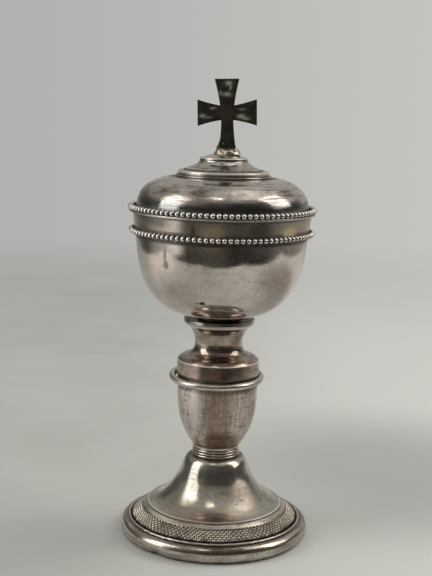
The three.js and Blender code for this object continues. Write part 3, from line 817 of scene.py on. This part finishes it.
def foot_base():
    opening = 25.1
    widest = 3.3
    floor_outer = shelf_at(SHELF_RADIUS) - BAND_THICKNESS
    floor_inner = shelf_at(BAND_INNER) - BAND_THICKNESS
    under = curve((HEM_OUTER, 0.15), (HEM_OUTER + 1.1, 0.4), (FOOT_RADIUS, 1.7), (FOOT_RADIUS, widest), 10)
    rim = curve(
        (FOOT_RADIUS, widest),
        (FOOT_RADIUS, 5.3),
        (LEDGE_RADIUS + 1.5, LEDGE_HEIGHT),
        (LEDGE_RADIUS, LEDGE_HEIGHT),
        14,
    )
    outline = [
        (HEM_INNER, 0.0, 0.2),
        (HEM_OUTER - 0.3, 0.0),
        *under,
        *rim[1:],
        (LEDGE_RADIUS - 0.25, LEDGE_HEIGHT - 0.15),
        (LEDGE_RADIUS - 0.6, LEDGE_HEIGHT),
        (SHELF_RADIUS, LEDGE_HEIGHT, 0.1),
        (SHELF_RADIUS, floor_outer),
        (BAND_INNER, floor_inner),
        (BAND_INNER, shelf_at(BAND_INNER), 0.12),
        (SEAT_RADIUS, SEAT, 0.5),
        (opening, SEAT, 0.2),
        (opening, SEAT - SHEET_WALL, 0.2),
        (SEAT_RADIUS - SHEET_WALL, SEAT - SHEET_WALL, 0.8),
        (SHELF_RADIUS - SHEET_WALL, floor_outer - 1.1, 0.8),
        (LEDGE_RADIUS, LEDGE_HEIGHT - SHEET_WALL, 0.8),
        (FOOT_RADIUS - SHEET_WALL, widest, 0.8),
        (HEM_OUTER, SHEET_WALL, 0.4),
        (HEM_INNER, SHEET_WALL, 0.2),
    ]

    def dented(radius, angle, height):
        """A short flat knock low on the left of the rim."""
        if radius <= HEM_OUTER - 1:
            return radius
        low = max(0.0, 1 - height / DENT_HEIGHT)
        turn = math.remainder(angle - DENT_ANGLE, 2 * math.pi)
        return radius - DENT_DEPTH * low * math.exp(-((turn / DENT_WIDTH) ** 2))

    turned("foot_base", "cup", SILVER_FOOT, outline, RIM_FACETS * 2, dented)


def foot_band():
    """Strip with staggered raised scales, darkened between them by tarnish and painted shade."""
    inner = BAND_INNER + 0.15
    rows = 6
    scales = 110
    rise = 0.6
    across = 60
    around = scales * 12
    lean = math.atan(SHELF_SLOPE)
    angles = [2 * math.pi * j / around for j in range(around)]
    rings = []
    pits_and_shade = []
    for i in range(across + 1):
        share = i / across
        row = rows * share
        edge = min(1.0, min(share, 1 - share) * 20)
        ring = []
        for j, angle in enumerate(angles):
            cell = scales * j / around
            wobble = 0.12 * math.sin(5 * angle + row) + 0.1 * math.sin(17 * angle)
            a = math.cos(math.pi * (row / 2 + cell + wobble))
            b = math.cos(math.pi * (row / 2 - cell - wobble))
            bump = abs(a * b) ** 0.5
            depth = rise * (bump - 1.0) * edge
            radius = SHELF_RADIUS - (SHELF_RADIUS - inner) * share
            z = shelf_at(radius) + depth * math.cos(lean)
            radius += depth * math.sin(lean)
            ring.append(polar(radius, angle, z))
            # Painted shade in a ragged gap along the outer edge, and darkening between the scales, partly
            # tarnish and partly painted shade
            ragged = 6.5 - 2.5 * math.sin(23 * angle + 3 * math.sin(7 * angle))
            outer_gap = min(1.0, max(0.0, 1.25 - share * ragged))
            worn = noise.noise(polar(radius, angle, 0) / 1.7)
            pits_and_shade.append(max(max(0.0, 0.6 - bump) * (2.1 + 1.2 * worn), outer_gap))
        rings.append(ring)
    # Painted shade on the band's sides and underside
    for radius in (inner, SHELF_RADIUS):
        z = shelf_at(radius) - BAND_THICKNESS
        rings.append([polar(radius, angle, z) for angle in angles])
        pits_and_shade += [1.0] * around
    points, faces = skin(rings, closed=True)
    piece("foot_band", "cup", SILVER_BAND, points, faces, pits_and_shade=pits_and_shade)


def foot_fillet():
    section = 0.52
    outline = wire_outline(LEDGE_RADIUS - 1.3, LEDGE_HEIGHT + section, section, 16)

    def wavy(radius, angle, height):
        return radius + 0.05 * math.sin(37 * angle) + 0.04 * math.sin(61 * angle + 1)

    turned("foot_fillet", "cup", SILVER_TRIM, outline, RIM_FACETS * 2, wavy)


def foot_bell():
    waist = (16.7, 25.0)
    flare = curve((BELL_RADIUS, 14.0), (24.15, 14.5), (20.6, 19.15), waist, 28)
    crown = curve(waist, (14.05, 28.97), (14.2, BELL_TOP), (10.2, BELL_TOP), 20)
    outer = flare + crown[1:]
    outline = [
        (BELL_RADIUS, SEAT, 0.15),
        (BELL_RADIUS, SEAT + 0.55, 0.12),
        *outer[1:],
        (ROD_HOLE, BELL_TOP, 0.1),
        (ROD_HOLE, BELL_TOP - PLATE_WALL, 0.1),
        (10.6, BELL_TOP - PLATE_WALL),
        *inside(outer, SEAT, BELL_TOP - PLATE_WALL),
        (27.9, SEAT),
    ]
    turned("foot_bell", "cup", SILVER_BELL, outline, RIM_FACETS)


# Stem

def reeded_collar():
    groove = 9.45
    pitch = 1.15
    outline = [(ROD_HOLE, BELL_TOP)]
    for reed in range(3):
        foot = BELL_TOP + reed * pitch
        middle = groove + 0.35 * (1 - reed / 3)
        outline.append((middle, foot + 0.02))
        for i in range(9):
            angle = math.pi * (i / 8 - 0.5)
            outline.append((middle + 0.6 * math.cos(angle), foot + pitch / 2 + 0.5 * math.sin(angle)))
    outline += [
        (9.35, BELL_TOP + 3.5, 0.2),
        (9.3, COLLAR_TOP),
        (ROD_HOLE, COLLAR_TOP),
    ]
    turned("reeded_collar", "cup", SILVER_COLLAR, outline, STEM_FACETS)


def knop_vase():
    outer = curve((10.0, COLLAR_TOP), (VASE_RADIUS, 48.55), (VASE_RADIUS, 59.0), (17.3, 67.9), 32)
    outline = [
        (ROD_HOLE, COLLAR_TOP),
        (9.9, COLLAR_TOP, 0.15),
        *outer[1:],
        (VASE_RADIUS, VASE_TOP, 0.1),
        (VASE_RADIUS - SHEET_WALL, VASE_TOP, 0.1),
        *inside(outer, COLLAR_TOP + PLATE_WALL, VASE_TOP),
        (ROD_HOLE, COLLAR_TOP + PLATE_WALL),
    ]
    turned("knop_vase", "cup", SILVER_VASE, outline, STEM_FACETS)


def knop_plate():
    outline = [
        (ROD_HOLE, VASE_TOP),
        (VASE_RADIUS, VASE_TOP, 0.1),
        (VASE_RADIUS, DRUM_FOOT, 0.1),
        (ROD_HOLE, DRUM_FOOT),
    ]
    turned("knop_plate", "cup", SILVER_TRIM, outline, STEM_FACETS)


def knop_wire():
    """Wire ring that hangs a little low in front and to the left."""
    ring_radius = 19.1
    wire_radius = 1.5
    tip = math.radians(2.0)
    centre = Vector((-0.6, 0.0, 69.75))

    def uneven(radius, angle, height):
        return radius + 0.06 * math.sin(3 * angle + 0.6) + 0.03 * math.sin(11 * angle)

    outline = wire_outline(ring_radius, 0.0, wire_radius)
    obj = turned("knop_wire", "cup", SILVER_RING, outline, RIM_FACETS, uneven, even=True)
    obj.data.transform(Matrix.Translation(centre * MM) @ Matrix.Rotation(tip, 4, "X"))


def neck_spool():
    shoulder_end = (14.1, 79.55)
    waist = (10.3, 84.8)
    shoulder = curve((17.5, DRUM_TOP), (16.7, 78.6), (15.5, 79.3), shoulder_end, 12)
    sweep = curve(shoulder_end, (11.4, 80.3), (10.3, 82.15), waist, 18)
    flare = curve(waist, (10.3, 88.3), (11.9, 91.7), (14.4, 92.75), 22)
    outer = shoulder + sweep[1:] + flare[1:]
    outline = [
        (17.0, DRUM_FOOT),
        (17.9, DRUM_FOOT, 0.15),
        (17.65, DRUM_TOP - 0.12),
        *outer,
        (14.9, 93.35),
        (15.15, SPOOL_TOP),
        (SHANK_HOLE, SPOOL_TOP),
        (SHANK_HOLE, SPOOL_TOP - PLATE_WALL),
        *inside(outer, DRUM_FOOT + 5, SPOOL_TOP - PLATE_WALL),
    ]
    turned("neck_spool", "cup", SILVER_STEM, outline, STEM_FACETS)


def neck_disc():
    radius = 15.2
    outline = [
        (SHANK_HOLE, SPOOL_TOP),
        (radius, SPOOL_TOP, 0.1),
        (radius + 0.15, SPOOL_TOP + 0.25, 0.1),
        (radius, DISC_TOP, 0.2),
        (radius - 0.7, DISC_TOP, 0.2),
        (9.8, DISC_TOP - 0.5, 0.4),
        (9.0, DISC_TOP, 0.1),
        (SHANK_HOLE, DISC_TOP),
    ]
    turned("neck_disc", "cup", SILVER_DISC, outline, STEM_FACETS)


def bowl_boss():
    socket_top = 95.95
    shank = 5.6
    flange = 9.0
    outline = [
        (0.0, socket_top),
        (ROD_HOLE, socket_top),
        (ROD_HOLE, BOSS_FOOT, 0.2),
        (shank, BOSS_FOOT, 0.2),
        (shank, DISC_TOP),
        (flange, DISC_TOP),
        (flange, BOWL_BOTTOM),
        (0.0, BOWL_BOTTOM),
    ]
    turned("bowl_boss", "cup", BRASS, outline, BOLT_FACETS)


# Cup

def bowl_face():
    """Outer face from the flat bottom to the lip, with a small step behind the beaded wire."""
    shoulder = (35.67, 122.88)
    belly = curve((12.2, BOWL_BOTTOM), (30.33, 98.8), (34.3, 113.16), shoulder, 48)
    side = curve(shoulder, (36.05, 125.6), (36.35, 128.8), (36.58, LIP_FOOT), 12)
    lip_start = LIP_FOOT + 0.5
    step = [(36.62, LIP_FOOT + 0.35), (LIP_RADIUS, lip_start)]
    flare = RIM_RADIUS - LIP_RADIUS
    lip = [(LIP_RADIUS + flare * i / 6, lip_start + (CUP_RIM - lip_start) * i / 6) for i in range(1, 6)]
    return belly + side[1:] + step + lip


def bowl():
    outer = bowl_face()
    rim = (RIM_RADIUS, CUP_RIM)
    outline = [
        (0.0, BOWL_BOTTOM),
        *outer,
        (*rim, 0.2),
        (RIM_RADIUS - SHEET_WALL, CUP_RIM, 0.2),
        *inside([*outer, rim], BOWL_BOTTOM, CUP_RIM - 0.2),
        (0.0, BOWL_BOTTOM + SHEET_WALL),
    ]
    turned("bowl", "cup", SILVER_BOWL, outline, RIM_FACETS)


def beaded_wire(node, body, centre_radius, height):
    """One unbroken wire that swells at each bead and necks between two, darkened in the necks, partly
    soiling and partly painted shade, and with painted shade on its underside.
    """
    steps = 14
    sides = 16
    neck = 0.42
    pitch = 2 * math.pi * centre_radius / BEAD_COUNT
    lines = []
    pits_and_shade = []
    for side in range(sides):
        around = side / sides * 2 * math.pi
        # Painted shade on the wire's underside
        below = (-math.sin(around) - 0.42) * 2.4
        line = []
        for station in range(BEAD_COUNT * steps):
            bead, step = divmod(station, steps)
            offset = step / steps - 0.5
            reach = min(1.0, abs(offset) * pitch / BEAD_RADIUS)
            swell = BEAD_RADIUS * max(neck, math.sqrt(1 - reach * reach))
            angle = (bead + 0.5 + offset) / BEAD_COUNT * 2 * math.pi
            radius = centre_radius + swell * math.cos(around)
            line.append(polar(radius, angle, height + swell * math.sin(around)))
            # Darkening in the necks, partly soiling and partly painted shade
            between = (abs(offset) - 0.25) * 7
            pits_and_shade.append(max(0.0, min(1.0, max(between, below))))
        lines.append(line)
    points, faces = skin(lines, closed=True)
    piece(node, body, SILVER_BEADS, points, faces, pits_and_shade=pits_and_shade)


def cup_bead_wire():
    beaded_wire("cup_bead_wire", "cup", *CUP_WIRE)


# Lid

def lid_bezel():
    foot = CUP_RIM - 4.6
    outline = [
        (BEZEL_INNER, foot, 0.3),
        (BEZEL_OUTER, foot, 0.3),
        (BEZEL_OUTER, CUP_RIM),
        (BEZEL_INNER, CUP_RIM),
    ]
    turned("lid_bezel", "lid", SILVER_DOME, outline, RIM_FACETS)


def lid_flange():
    outline = [
        (BEZEL_INNER, CUP_RIM),
        (FLANGE_RADIUS, CUP_RIM, 0.25),
        (FLANGE_RADIUS, FLANGE_TOP, 0.2),
        (BEZEL_INNER, FLANGE_TOP),
    ]
    turned("lid_flange", "lid", SILVER_FLANGE, outline, RIM_FACETS)


def lid_bead_wire():
    beaded_wire("lid_bead_wire", "lid", *LID_WIRE)


def lid_dome():
    crown = curve((DOME_RADIUS, 142.5), (DOME_RADIUS, 153.3), (26.1, DOME_TOP), (18.0, DOME_TOP), 36)
    outline = [
        (DOME_RADIUS - SHEET_WALL, FLANGE_TOP),
        (DOME_RADIUS, FLANGE_TOP),
        *crown,
        (STUD_HOLE, DOME_TOP),
        (STUD_HOLE, DOME_TOP - SHEET_WALL),
        *inside(crown, FLANGE_TOP, DOME_TOP - SHEET_WALL),
    ]
    turned("lid_dome", "lid", SILVER_DOME, outline, RIM_FACETS)


def finial_mount():
    socket = 5.5
    base = 20.4
    drum = 19.4
    neck = 10.1
    outline = [
        (0.0, socket),
        (STUD_HOLE, socket),
        (STUD_HOLE, 0.0),
        (base, 0.0, 0.1),
        (base, 0.5, 0.15),
        (drum, 0.8, 0.2),
        (drum, 2.6, 1.5),
        (drum - 2.5, 2.6, 0.3),
        (drum - 3.0, 3.2, 0.4),
        *curve((15.8, 3.3), (12.95, 4.0), (neck, 5.9), (neck, 6.8), 14),
        (neck, 7.7, 0.3),
        (neck - 0.6, 8.0, 0.3),
        (5.4, MOUNT_TOP - DOME_TOP, 0.4),
        (0.0, MOUNT_TOP - DOME_TOP),
    ]
    outline = [(radius, DOME_TOP + height, *easing) for radius, height, *easing in outline]
    turned("finial_mount", "lid", SILVER_MOUNT, outline, STEM_FACETS)


def lump(centre, reach, seed):
    """Points and faces of a bead of solder, an uneven ball."""
    rows = 8
    facets = 12
    rings = [[centre - Vector((0, 0, reach[2]))]]
    for i in range(1, rows):
        up = math.pi * (i / rows - 0.5)
        ring = []
        for j in range(facets):
            point = polar(math.cos(up), 2 * math.pi * j / facets, math.sin(up)) * Vector(reach)
            uneven = 1 + 0.25 * noise.noise(point * 1.5 + Vector((seed, 0, 0)))
            ring.append(centre + point * uneven)
        rings.append(ring)
    rings.append([centre + Vector((0, 0, reach[2]))])
    return skin(rings)


def cross_collar():
    """Mound of solder round the cross's foot, with a run up its left edge."""
    facets = 96
    profile = curve((5.7, MOUNT_TOP), (5.3, 166.4), (4.9, 167.0), (4.0, 167.5), 12)
    profile += curve((4.0, 167.5), (3.0, 167.9), (1.5, 168.0), (0.0, 168.0), 6)[1:]
    rings = [[CROSS_SHIFT + Vector((0, 0, MOUNT_TOP))]]
    for radius, height in profile[:-1]:
        share = min(1.0, (height - MOUNT_TOP) / 1.2)
        ring = []
        for i in range(facets):
            point = polar(radius, 2 * math.pi * i / facets, height)
            lumps = noise.noise(point / 2.2) + noise.noise(point / 0.9) * 0.35
            point.x *= 1 + 0.08 * lumps
            point.y *= 1 + 0.08 * lumps
            point.z += share * 0.55 * lumps
            ring.append(point + CROSS_SHIFT)
        rings.append(ring)
    rings.append([CROSS_SHIFT + Vector((0, 0, profile[-1][1]))])
    points, faces = skin(rings)
    for i, (x, z, width, length) in enumerate(SOLDER_RUN):
        more, more_faces = lump(Vector((x, -0.7, z)), (width, 0.45, length), 7.0 * i)
        faces += [tuple(len(points) + v for v in face) for face in more_faces]
        points += more
    piece("cross_collar", "lid", SOLDER, points, faces, even=True)


def cross():
    """Plate with four flared arms whose sides are a little hollow, and softened edges."""
    centre = 15.4
    low_notch = (2.55, centre - 3.1)
    high_notch = (2.95, centre + 2.95)
    reach = 12.4
    arm = 5.45
    top = (5.15, 29.3)
    right = [
        *bow((3.85, -0.6), (2.75, 3.6), low_notch),
        *bow(low_notch, (7.2, centre - 3.75), (reach, centre - arm)),
        (reach, centre - arm),
        *bow((reach, centre + arm), (7.4, centre + 3.8), high_notch),
        *bow(high_notch, (3.7, centre + 8.4), top),
        top,
    ]
    sides = right + [(-x, z) for x, z in reversed(right)]
    count = len(sides)
    lean = Matrix.Rotation(-CROSS_LEAN, 4, "Y")
    foot = CROSS_SHIFT + Vector((0, 0, CROSS_FOOT))
    back_and_front = (CROSS_HALF_THICKNESS, -CROSS_HALF_THICKNESS)
    rings = [[lean @ Vector((x, y, z)) + foot for x, z in sides] for y in back_and_front]
    points, faces = skin(rings)
    faces += [tuple(range(count, 2 * count)), tuple(range(count - 1, -1, -1))]
    obj = piece("cross", "lid", BLACKENED, points, faces, even=True)
    bevel = obj.modifiers.new("edges", "BEVEL")
    bevel.width = 0.22 * MM
    bevel.segments = 3
    bevel.limit_method = "ANGLE"
    bevel.angle_limit = math.radians(60)


# Fastenings

def hexagon(flat):
    """Keeps a turned outline inside a hexagon that is this far from its middle to each flat."""
    def trim(radius, angle, height):
        turn = (angle + math.pi / 6) % (math.pi / 3) - math.pi / 6
        return min(radius, flat / math.cos(turn))
    return trim


def nut(node, body, top, height, flat, bore):
    foot = top - height
    corner = flat / math.cos(math.pi / 6)
    chamfer = (corner - flat) * math.tan(math.radians(30))
    outline = [
        (bore, foot),
        (flat, foot),
        (corner + 0.01, foot + chamfer),
        (corner + 0.01, top - chamfer),
        (flat, top),
        (bore, top),
    ]
    turned(node, body, BRASS, outline, BOLT_FACETS, hexagon(flat), even=True)


def washer(node, body, foot, radius, bore):
    top = foot + WASHER_THICKNESS
    outline = [(bore, foot), (radius, foot, 0.15), (radius, top, 0.15), (bore, top)]
    turned(node, body, BRASS, outline, BOLT_FACETS, even=True)


def threaded_rod(node, body, foot, top, radius, threads):
    """Rod with a helical thread on each (from, to) stretch and chamfered ends."""
    bevel = 0.4
    step = THREAD_PITCH / 8
    levels = [foot, foot + bevel, top - bevel, top]
    for start, end in threads:
        levels += [start + step * i for i in range(int((end - start) / step) + 1)]

    def cut_thread(reach, angle, height):
        chamfer = max(0.0, bevel - min(height - foot, top - height))
        for start, end in threads:
            if start <= height <= end:
                phase = (height / THREAD_PITCH - angle / (2 * math.pi)) % 1.0
                fade = min(1.0, (height - start) / step, (end - height) / step)
                return reach - 0.45 * THREAD_PITCH * abs(2 * phase - 1) * fade - chamfer
        return reach - chamfer

    outline = [(0.0, foot), *((radius, level) for level in sorted(set(levels))), (0.0, top)]
    turned(node, body, BRASS, outline, BOLT_FACETS // 2, cut_thread, even=True)


def foot_fastening():
    """Tie rod from the foot's nut up into the boss, with a thread at each end."""
    rod_foot = 27.7
    rod_top = 95.2
    threads = ((27.9, BELL_TOP), (BOSS_FOOT, 94.9))
    washer_foot = BELL_TOP - PLATE_WALL - WASHER_THICKNESS
    washer("foot_washer", "cup", washer_foot, 8.5, ROD_HOLE)
    nut("foot_nut", "cup", washer_foot, 3.6, 5.0, ROD_RADIUS)
    threaded_rod("tie_rod", "cup", rod_foot, rod_top, ROD_RADIUS, threads)


def finial_fastening():
    """Stud from the nut inside the dome up into the mount, threaded all along."""
    stud_foot = 150.3
    stud_top = 161.2
    threads = ((150.5, 160.9),)
    washer_foot = DOME_TOP - SHEET_WALL - WASHER_THICKNESS
    washer("finial_washer", "lid", washer_foot, 6.0, STUD_HOLE)
    nut("finial_nut", "lid", washer_foot, 2.6, 3.5, STUD_RADIUS)
    threaded_rod("finial_stud", "lid", stud_foot, stud_top, STUD_RADIUS, threads)


for make in (
    foot_base, foot_band, foot_fillet, foot_bell,
    reeded_collar, knop_vase, knop_plate, knop_wire, neck_spool, neck_disc,
    bowl_boss, bowl, cup_bead_wire,
    lid_bezel, lid_flange, lid_bead_wire, lid_dome, finial_mount, cross_collar, cross,
    foot_fastening, finial_fastening,
):
    make()


# Stage

# Half the table's side and the height that the lights aim at, in metres
FLOOR_HALF = 1.7
LIGHTS_AIM = 0.11
# The table's front edge as metal mirrors it, in mm: it turns back at two corners, as (x, slope)
EDGE_FRONT = -285.0
EDGE_LEFT = (-150.0, 0.55)
EDGE_RIGHT = (155.0, 0.75)
EDGE_SIDE = 470
EDGE_BLUR = 4
# Where the table fades into the world, in mm from the object
FADE = (450, 1100)
# Patches of tone on the table in mirrors, as (place, near, far, tone): a pale one that paints a pool of
# light on the left, and a darker one on the right
MIRRORED_GLOW_AND_SHADE = (
    ((-420.0, -40.0, 0.0), 60, 320, (0.86, 0.83, 0.80, 1)),
    ((250.0, 20.0, 0.0), 60, 230, (0.31, 0.295, 0.27, 1)),
)


def floor():
    """Pale table that fades into the equally pale world. Metal mirrors the table's edge in front. Its
    colour holds painted light towards the right, a painted shadow beside the foot and, in mirrors only, a
    painted pool of light on the left and a darker patch on the right.
    """
    corners = [(x * FLOOR_HALF, y * FLOOR_HALF, 0) for x, y in ((-1, -1), (1, -1), (1, 1), (-1, 1))]
    mesh = bpy.data.meshes.new("floor")
    mesh.from_pydata(corners, [], [(0, 1, 2, 3)])
    linked("floor", mesh)
    tree = Tree(bpy.data.materials.new("table"))
    where = tree.place_mm()
    x, y, _ = tree.add("SeparateXYZ", Vector=where).outputs
    colour = tree.span(tree.noise(where, 0.012, 5.0, 0.6), 0.3, 0.7)
    colour = tree.mix(colour, (0.435, 0.44, 0.415, 1), (0.475, 0.48, 0.455, 1))
    # Painted light: the table is paler towards the right
    colour = tree.mix(tree.span(x, -90, 110), colour, (0.59, 0.595, 0.57, 1))
    # A painted soft shadow on the table to the right of and behind the foot
    painted_shadow = tree.span(tree.gap(where, (85.0, 95.0, 0.0)), 20, 140, 1.0, 0.0)
    colour = tree.mix(painted_shadow, colour, (0.40, 0.405, 0.385, 1))
    mirrored = tree.nodes.new("ShaderNodeLightPath").outputs["Is Glossy Ray"]
    for centre, near, far, tone in MIRRORED_GLOW_AND_SHADE:
        patch = tree.span(tree.gap(where, centre), near, far, 1.0, 0.0)
        colour = tree.mix(tree.times(patch, mirrored), colour, tone)
    tree.paint(Base_Color=colour, Roughness=0.9, Specular_IOR_Level=0.0)

    left = tree.most(tree.minus(EDGE_LEFT[0], x), 0.0)
    right = tree.most(tree.minus(x, EDGE_RIGHT[0]), 0.0)
    edge = tree.math("MULTIPLY_ADD", right, EDGE_RIGHT[1], EDGE_FRONT)
    edge = tree.math("MULTIPLY_ADD", left, EDGE_LEFT[1], edge)
    beyond = tree.span(tree.minus(edge, y), -EDGE_BLUR, EDGE_BLUR)
    aside = tree.span(tree.math("ABSOLUTE", x), EDGE_SIDE - EDGE_BLUR, EDGE_SIDE + EDGE_BLUR)
    beyond = tree.times(tree.most(beyond, aside), mirrored)
    distance = tree.vector("LENGTH", where).outputs["Value"]
    fade = tree.most(tree.span(distance, *FADE), beyond)
    clear = tree.add("BsdfTransparent")
    blend = tree.add("MixShader", **{"0": fade, "1": tree.shader.outputs[0], "2": clear.outputs[0]})
    tree.set(tree.nodes["Material Output"], "Surface", blend.outputs[0])
    mesh.materials.append(tree.owner)


def softbox(name, azimuth, elevation, distance, width, height, radiance, tint, mirrored=True):
    """Soft light at a direction from the object. Azimuth 0 is the camera's side, 90 its right."""
    azimuth = math.radians(azimuth - 90)
    elevation = math.radians(elevation)
    towards = polar(math.cos(elevation), azimuth, math.sin(elevation))
    light = bpy.data.lights.new(name, "AREA")
    light.shape = "RECTANGLE"
    light.size = width
    light.size_y = height
    light.energy = radiance * math.pi * width * height
    light.color = tint
    obj = linked(name, light)
    obj.location = Vector((0, 0, LIGHTS_AIM)) + towards * distance
    obj.rotation_euler = towards.to_track_quat("Z", "Y").to_euler()
    obj.visible_glossy = mirrored


# Tones of the room, from the windows' glow to the dark behind the camera
GLOW = (0.90, 0.87, 0.83, 1)
PALE = (0.42, 0.41, 0.39, 1)
GREY = (0.25, 0.235, 0.21, 1)
WARM = (0.14, 0.11, 0.08, 1)
DIM = (0.08, 0.078, 0.07, 1)
DARK = (0.035, 0.034, 0.03, 1)
# The room that the metal mirrors, in zones from the deepest up. Each zone has the two heights of a
# direction between which it takes over from the zone below, and tones by azimuth in degrees.
ROOM = (
    (None, (
        (-180, PALE), (-90, PALE), (-70, DARK), (-10, DIM),
        (20, DARK), (60, DARK), (110, GREY), (180, PALE),
    )),
    ((-0.33, -0.30), (
        (-180, PALE), (-120, DIM), (-90, PALE), (-65, GLOW), (-45, DIM),
        (-10, WARM), (20, DARK), (60, DIM), (100, GREY), (180, PALE),
    )),
    ((0.0, 0.09), (
        (-180, PALE), (-140, DIM), (-60, DIM), (-20, DARK),
        (60, DARK), (120, DIM), (140, PALE), (180, PALE),
    )),
    ((0.28, 0.45), (
        (-180, PALE), (-120, GREY), (-50, GREY), (-20, DIM),
        (40, DARK), (65, DIM), (110, PALE), (180, PALE),
    )),
    ((0.6, 0.88), (
        (-180, PALE), (0, PALE), (110, GLOW), (180, PALE),
    )),
)


def around(tree, azimuth, stops):
    """Colour by azimuth in degrees, from -180 to 180, with smooth steps between the stops."""
    ramp = tree.add("ValToRGB", Fac=azimuth)
    ramp.color_ramp.interpolation = "EASE"
    elements = ramp.color_ramp.elements
    while len(elements) < len(stops):
        elements.new(0.5)
    for element, (degrees, tone) in zip(elements, stops):
        element.position = degrees / 360 + 0.5
        element.color = tone
    return ramp.outputs[0]


def world():
    """Pale studio. Metal mirrors a room that is dark in front and grey above."""
    tree = Tree(bpy.data.worlds.new("studio"))
    direction = tree.nodes.new("ShaderNodeTexCoord").outputs["Generated"]
    x, y, z = tree.add("SeparateXYZ", Vector=direction).outputs
    turn = tree.math("ARCTAN2", x, tree.times(y, -1))
    turn = tree.plus(tree.math("DIVIDE", turn, 2 * math.pi), 0.5)
    room = None
    for heights, stops in ROOM:
        zone = around(tree, turn, stops)
        room = tree.mix(tree.span(z, *heights), room, zone) if heights else zone
    backdrop = tree.mix(tree.span(x, -0.22, 0.22), (0.44, 0.44, 0.43, 1), (0.545, 0.55, 0.525, 1))
    rays = tree.nodes.new("ShaderNodeLightPath").outputs
    seen = tree.mix(rays["Is Camera Ray"], (0.53, 0.535, 0.515, 1), backdrop)
    tree.paint(Color=tree.mix(rays["Is Glossy Ray"], seen, room))
    bpy.context.scene.world = tree.owner


def camera():
    lens = bpy.data.cameras.new("camera")
    lens.sensor_width = SENSOR
    lens.sensor_fit = "AUTO"
    lens.lens = FOCAL_PIXELS * SENSOR / FRAME_HEIGHT
    pan = Matrix.Rotation(-CAMERA_PAN, 4, "Z")
    pitch = Matrix.Rotation(math.pi / 2 - CAMERA_PITCH, 4, "X")
    roll = Matrix.Rotation(CAMERA_ROLL, 4, "Z")
    obj = linked("camera", lens)
    obj.matrix_world = Matrix.Translation((0, -CAMERA_DISTANCE, CAMERA_HEIGHT)) @ pan @ pitch @ roll
    bpy.context.scene.camera = obj


floor()
world()
camera()
softbox("window_left", -76, 27, 1.15, 0.62, 1.00, 2.35, (1.0, 1.0, 0.98))
softbox("window_right", 89, 35, 1.15, 0.58, 0.80, 1.95, (1.0, 0.96, 0.90))
softbox("key_left", -76, 29, 1.2, 0.66, 1.20, 0.35, (1.0, 1.0, 0.98), mirrored=False)
softbox("key_right", 114, 41, 1.0, 0.55, 0.55, 3.3, (1.0, 0.99, 0.97), mirrored=False)
softbox("lamp_front", -14, 61, 1.15, 0.24, 0.15, 2.4, (1.0, 0.97, 0.88))
bpy.context.scene.view_settings.view_transform = "Standard"
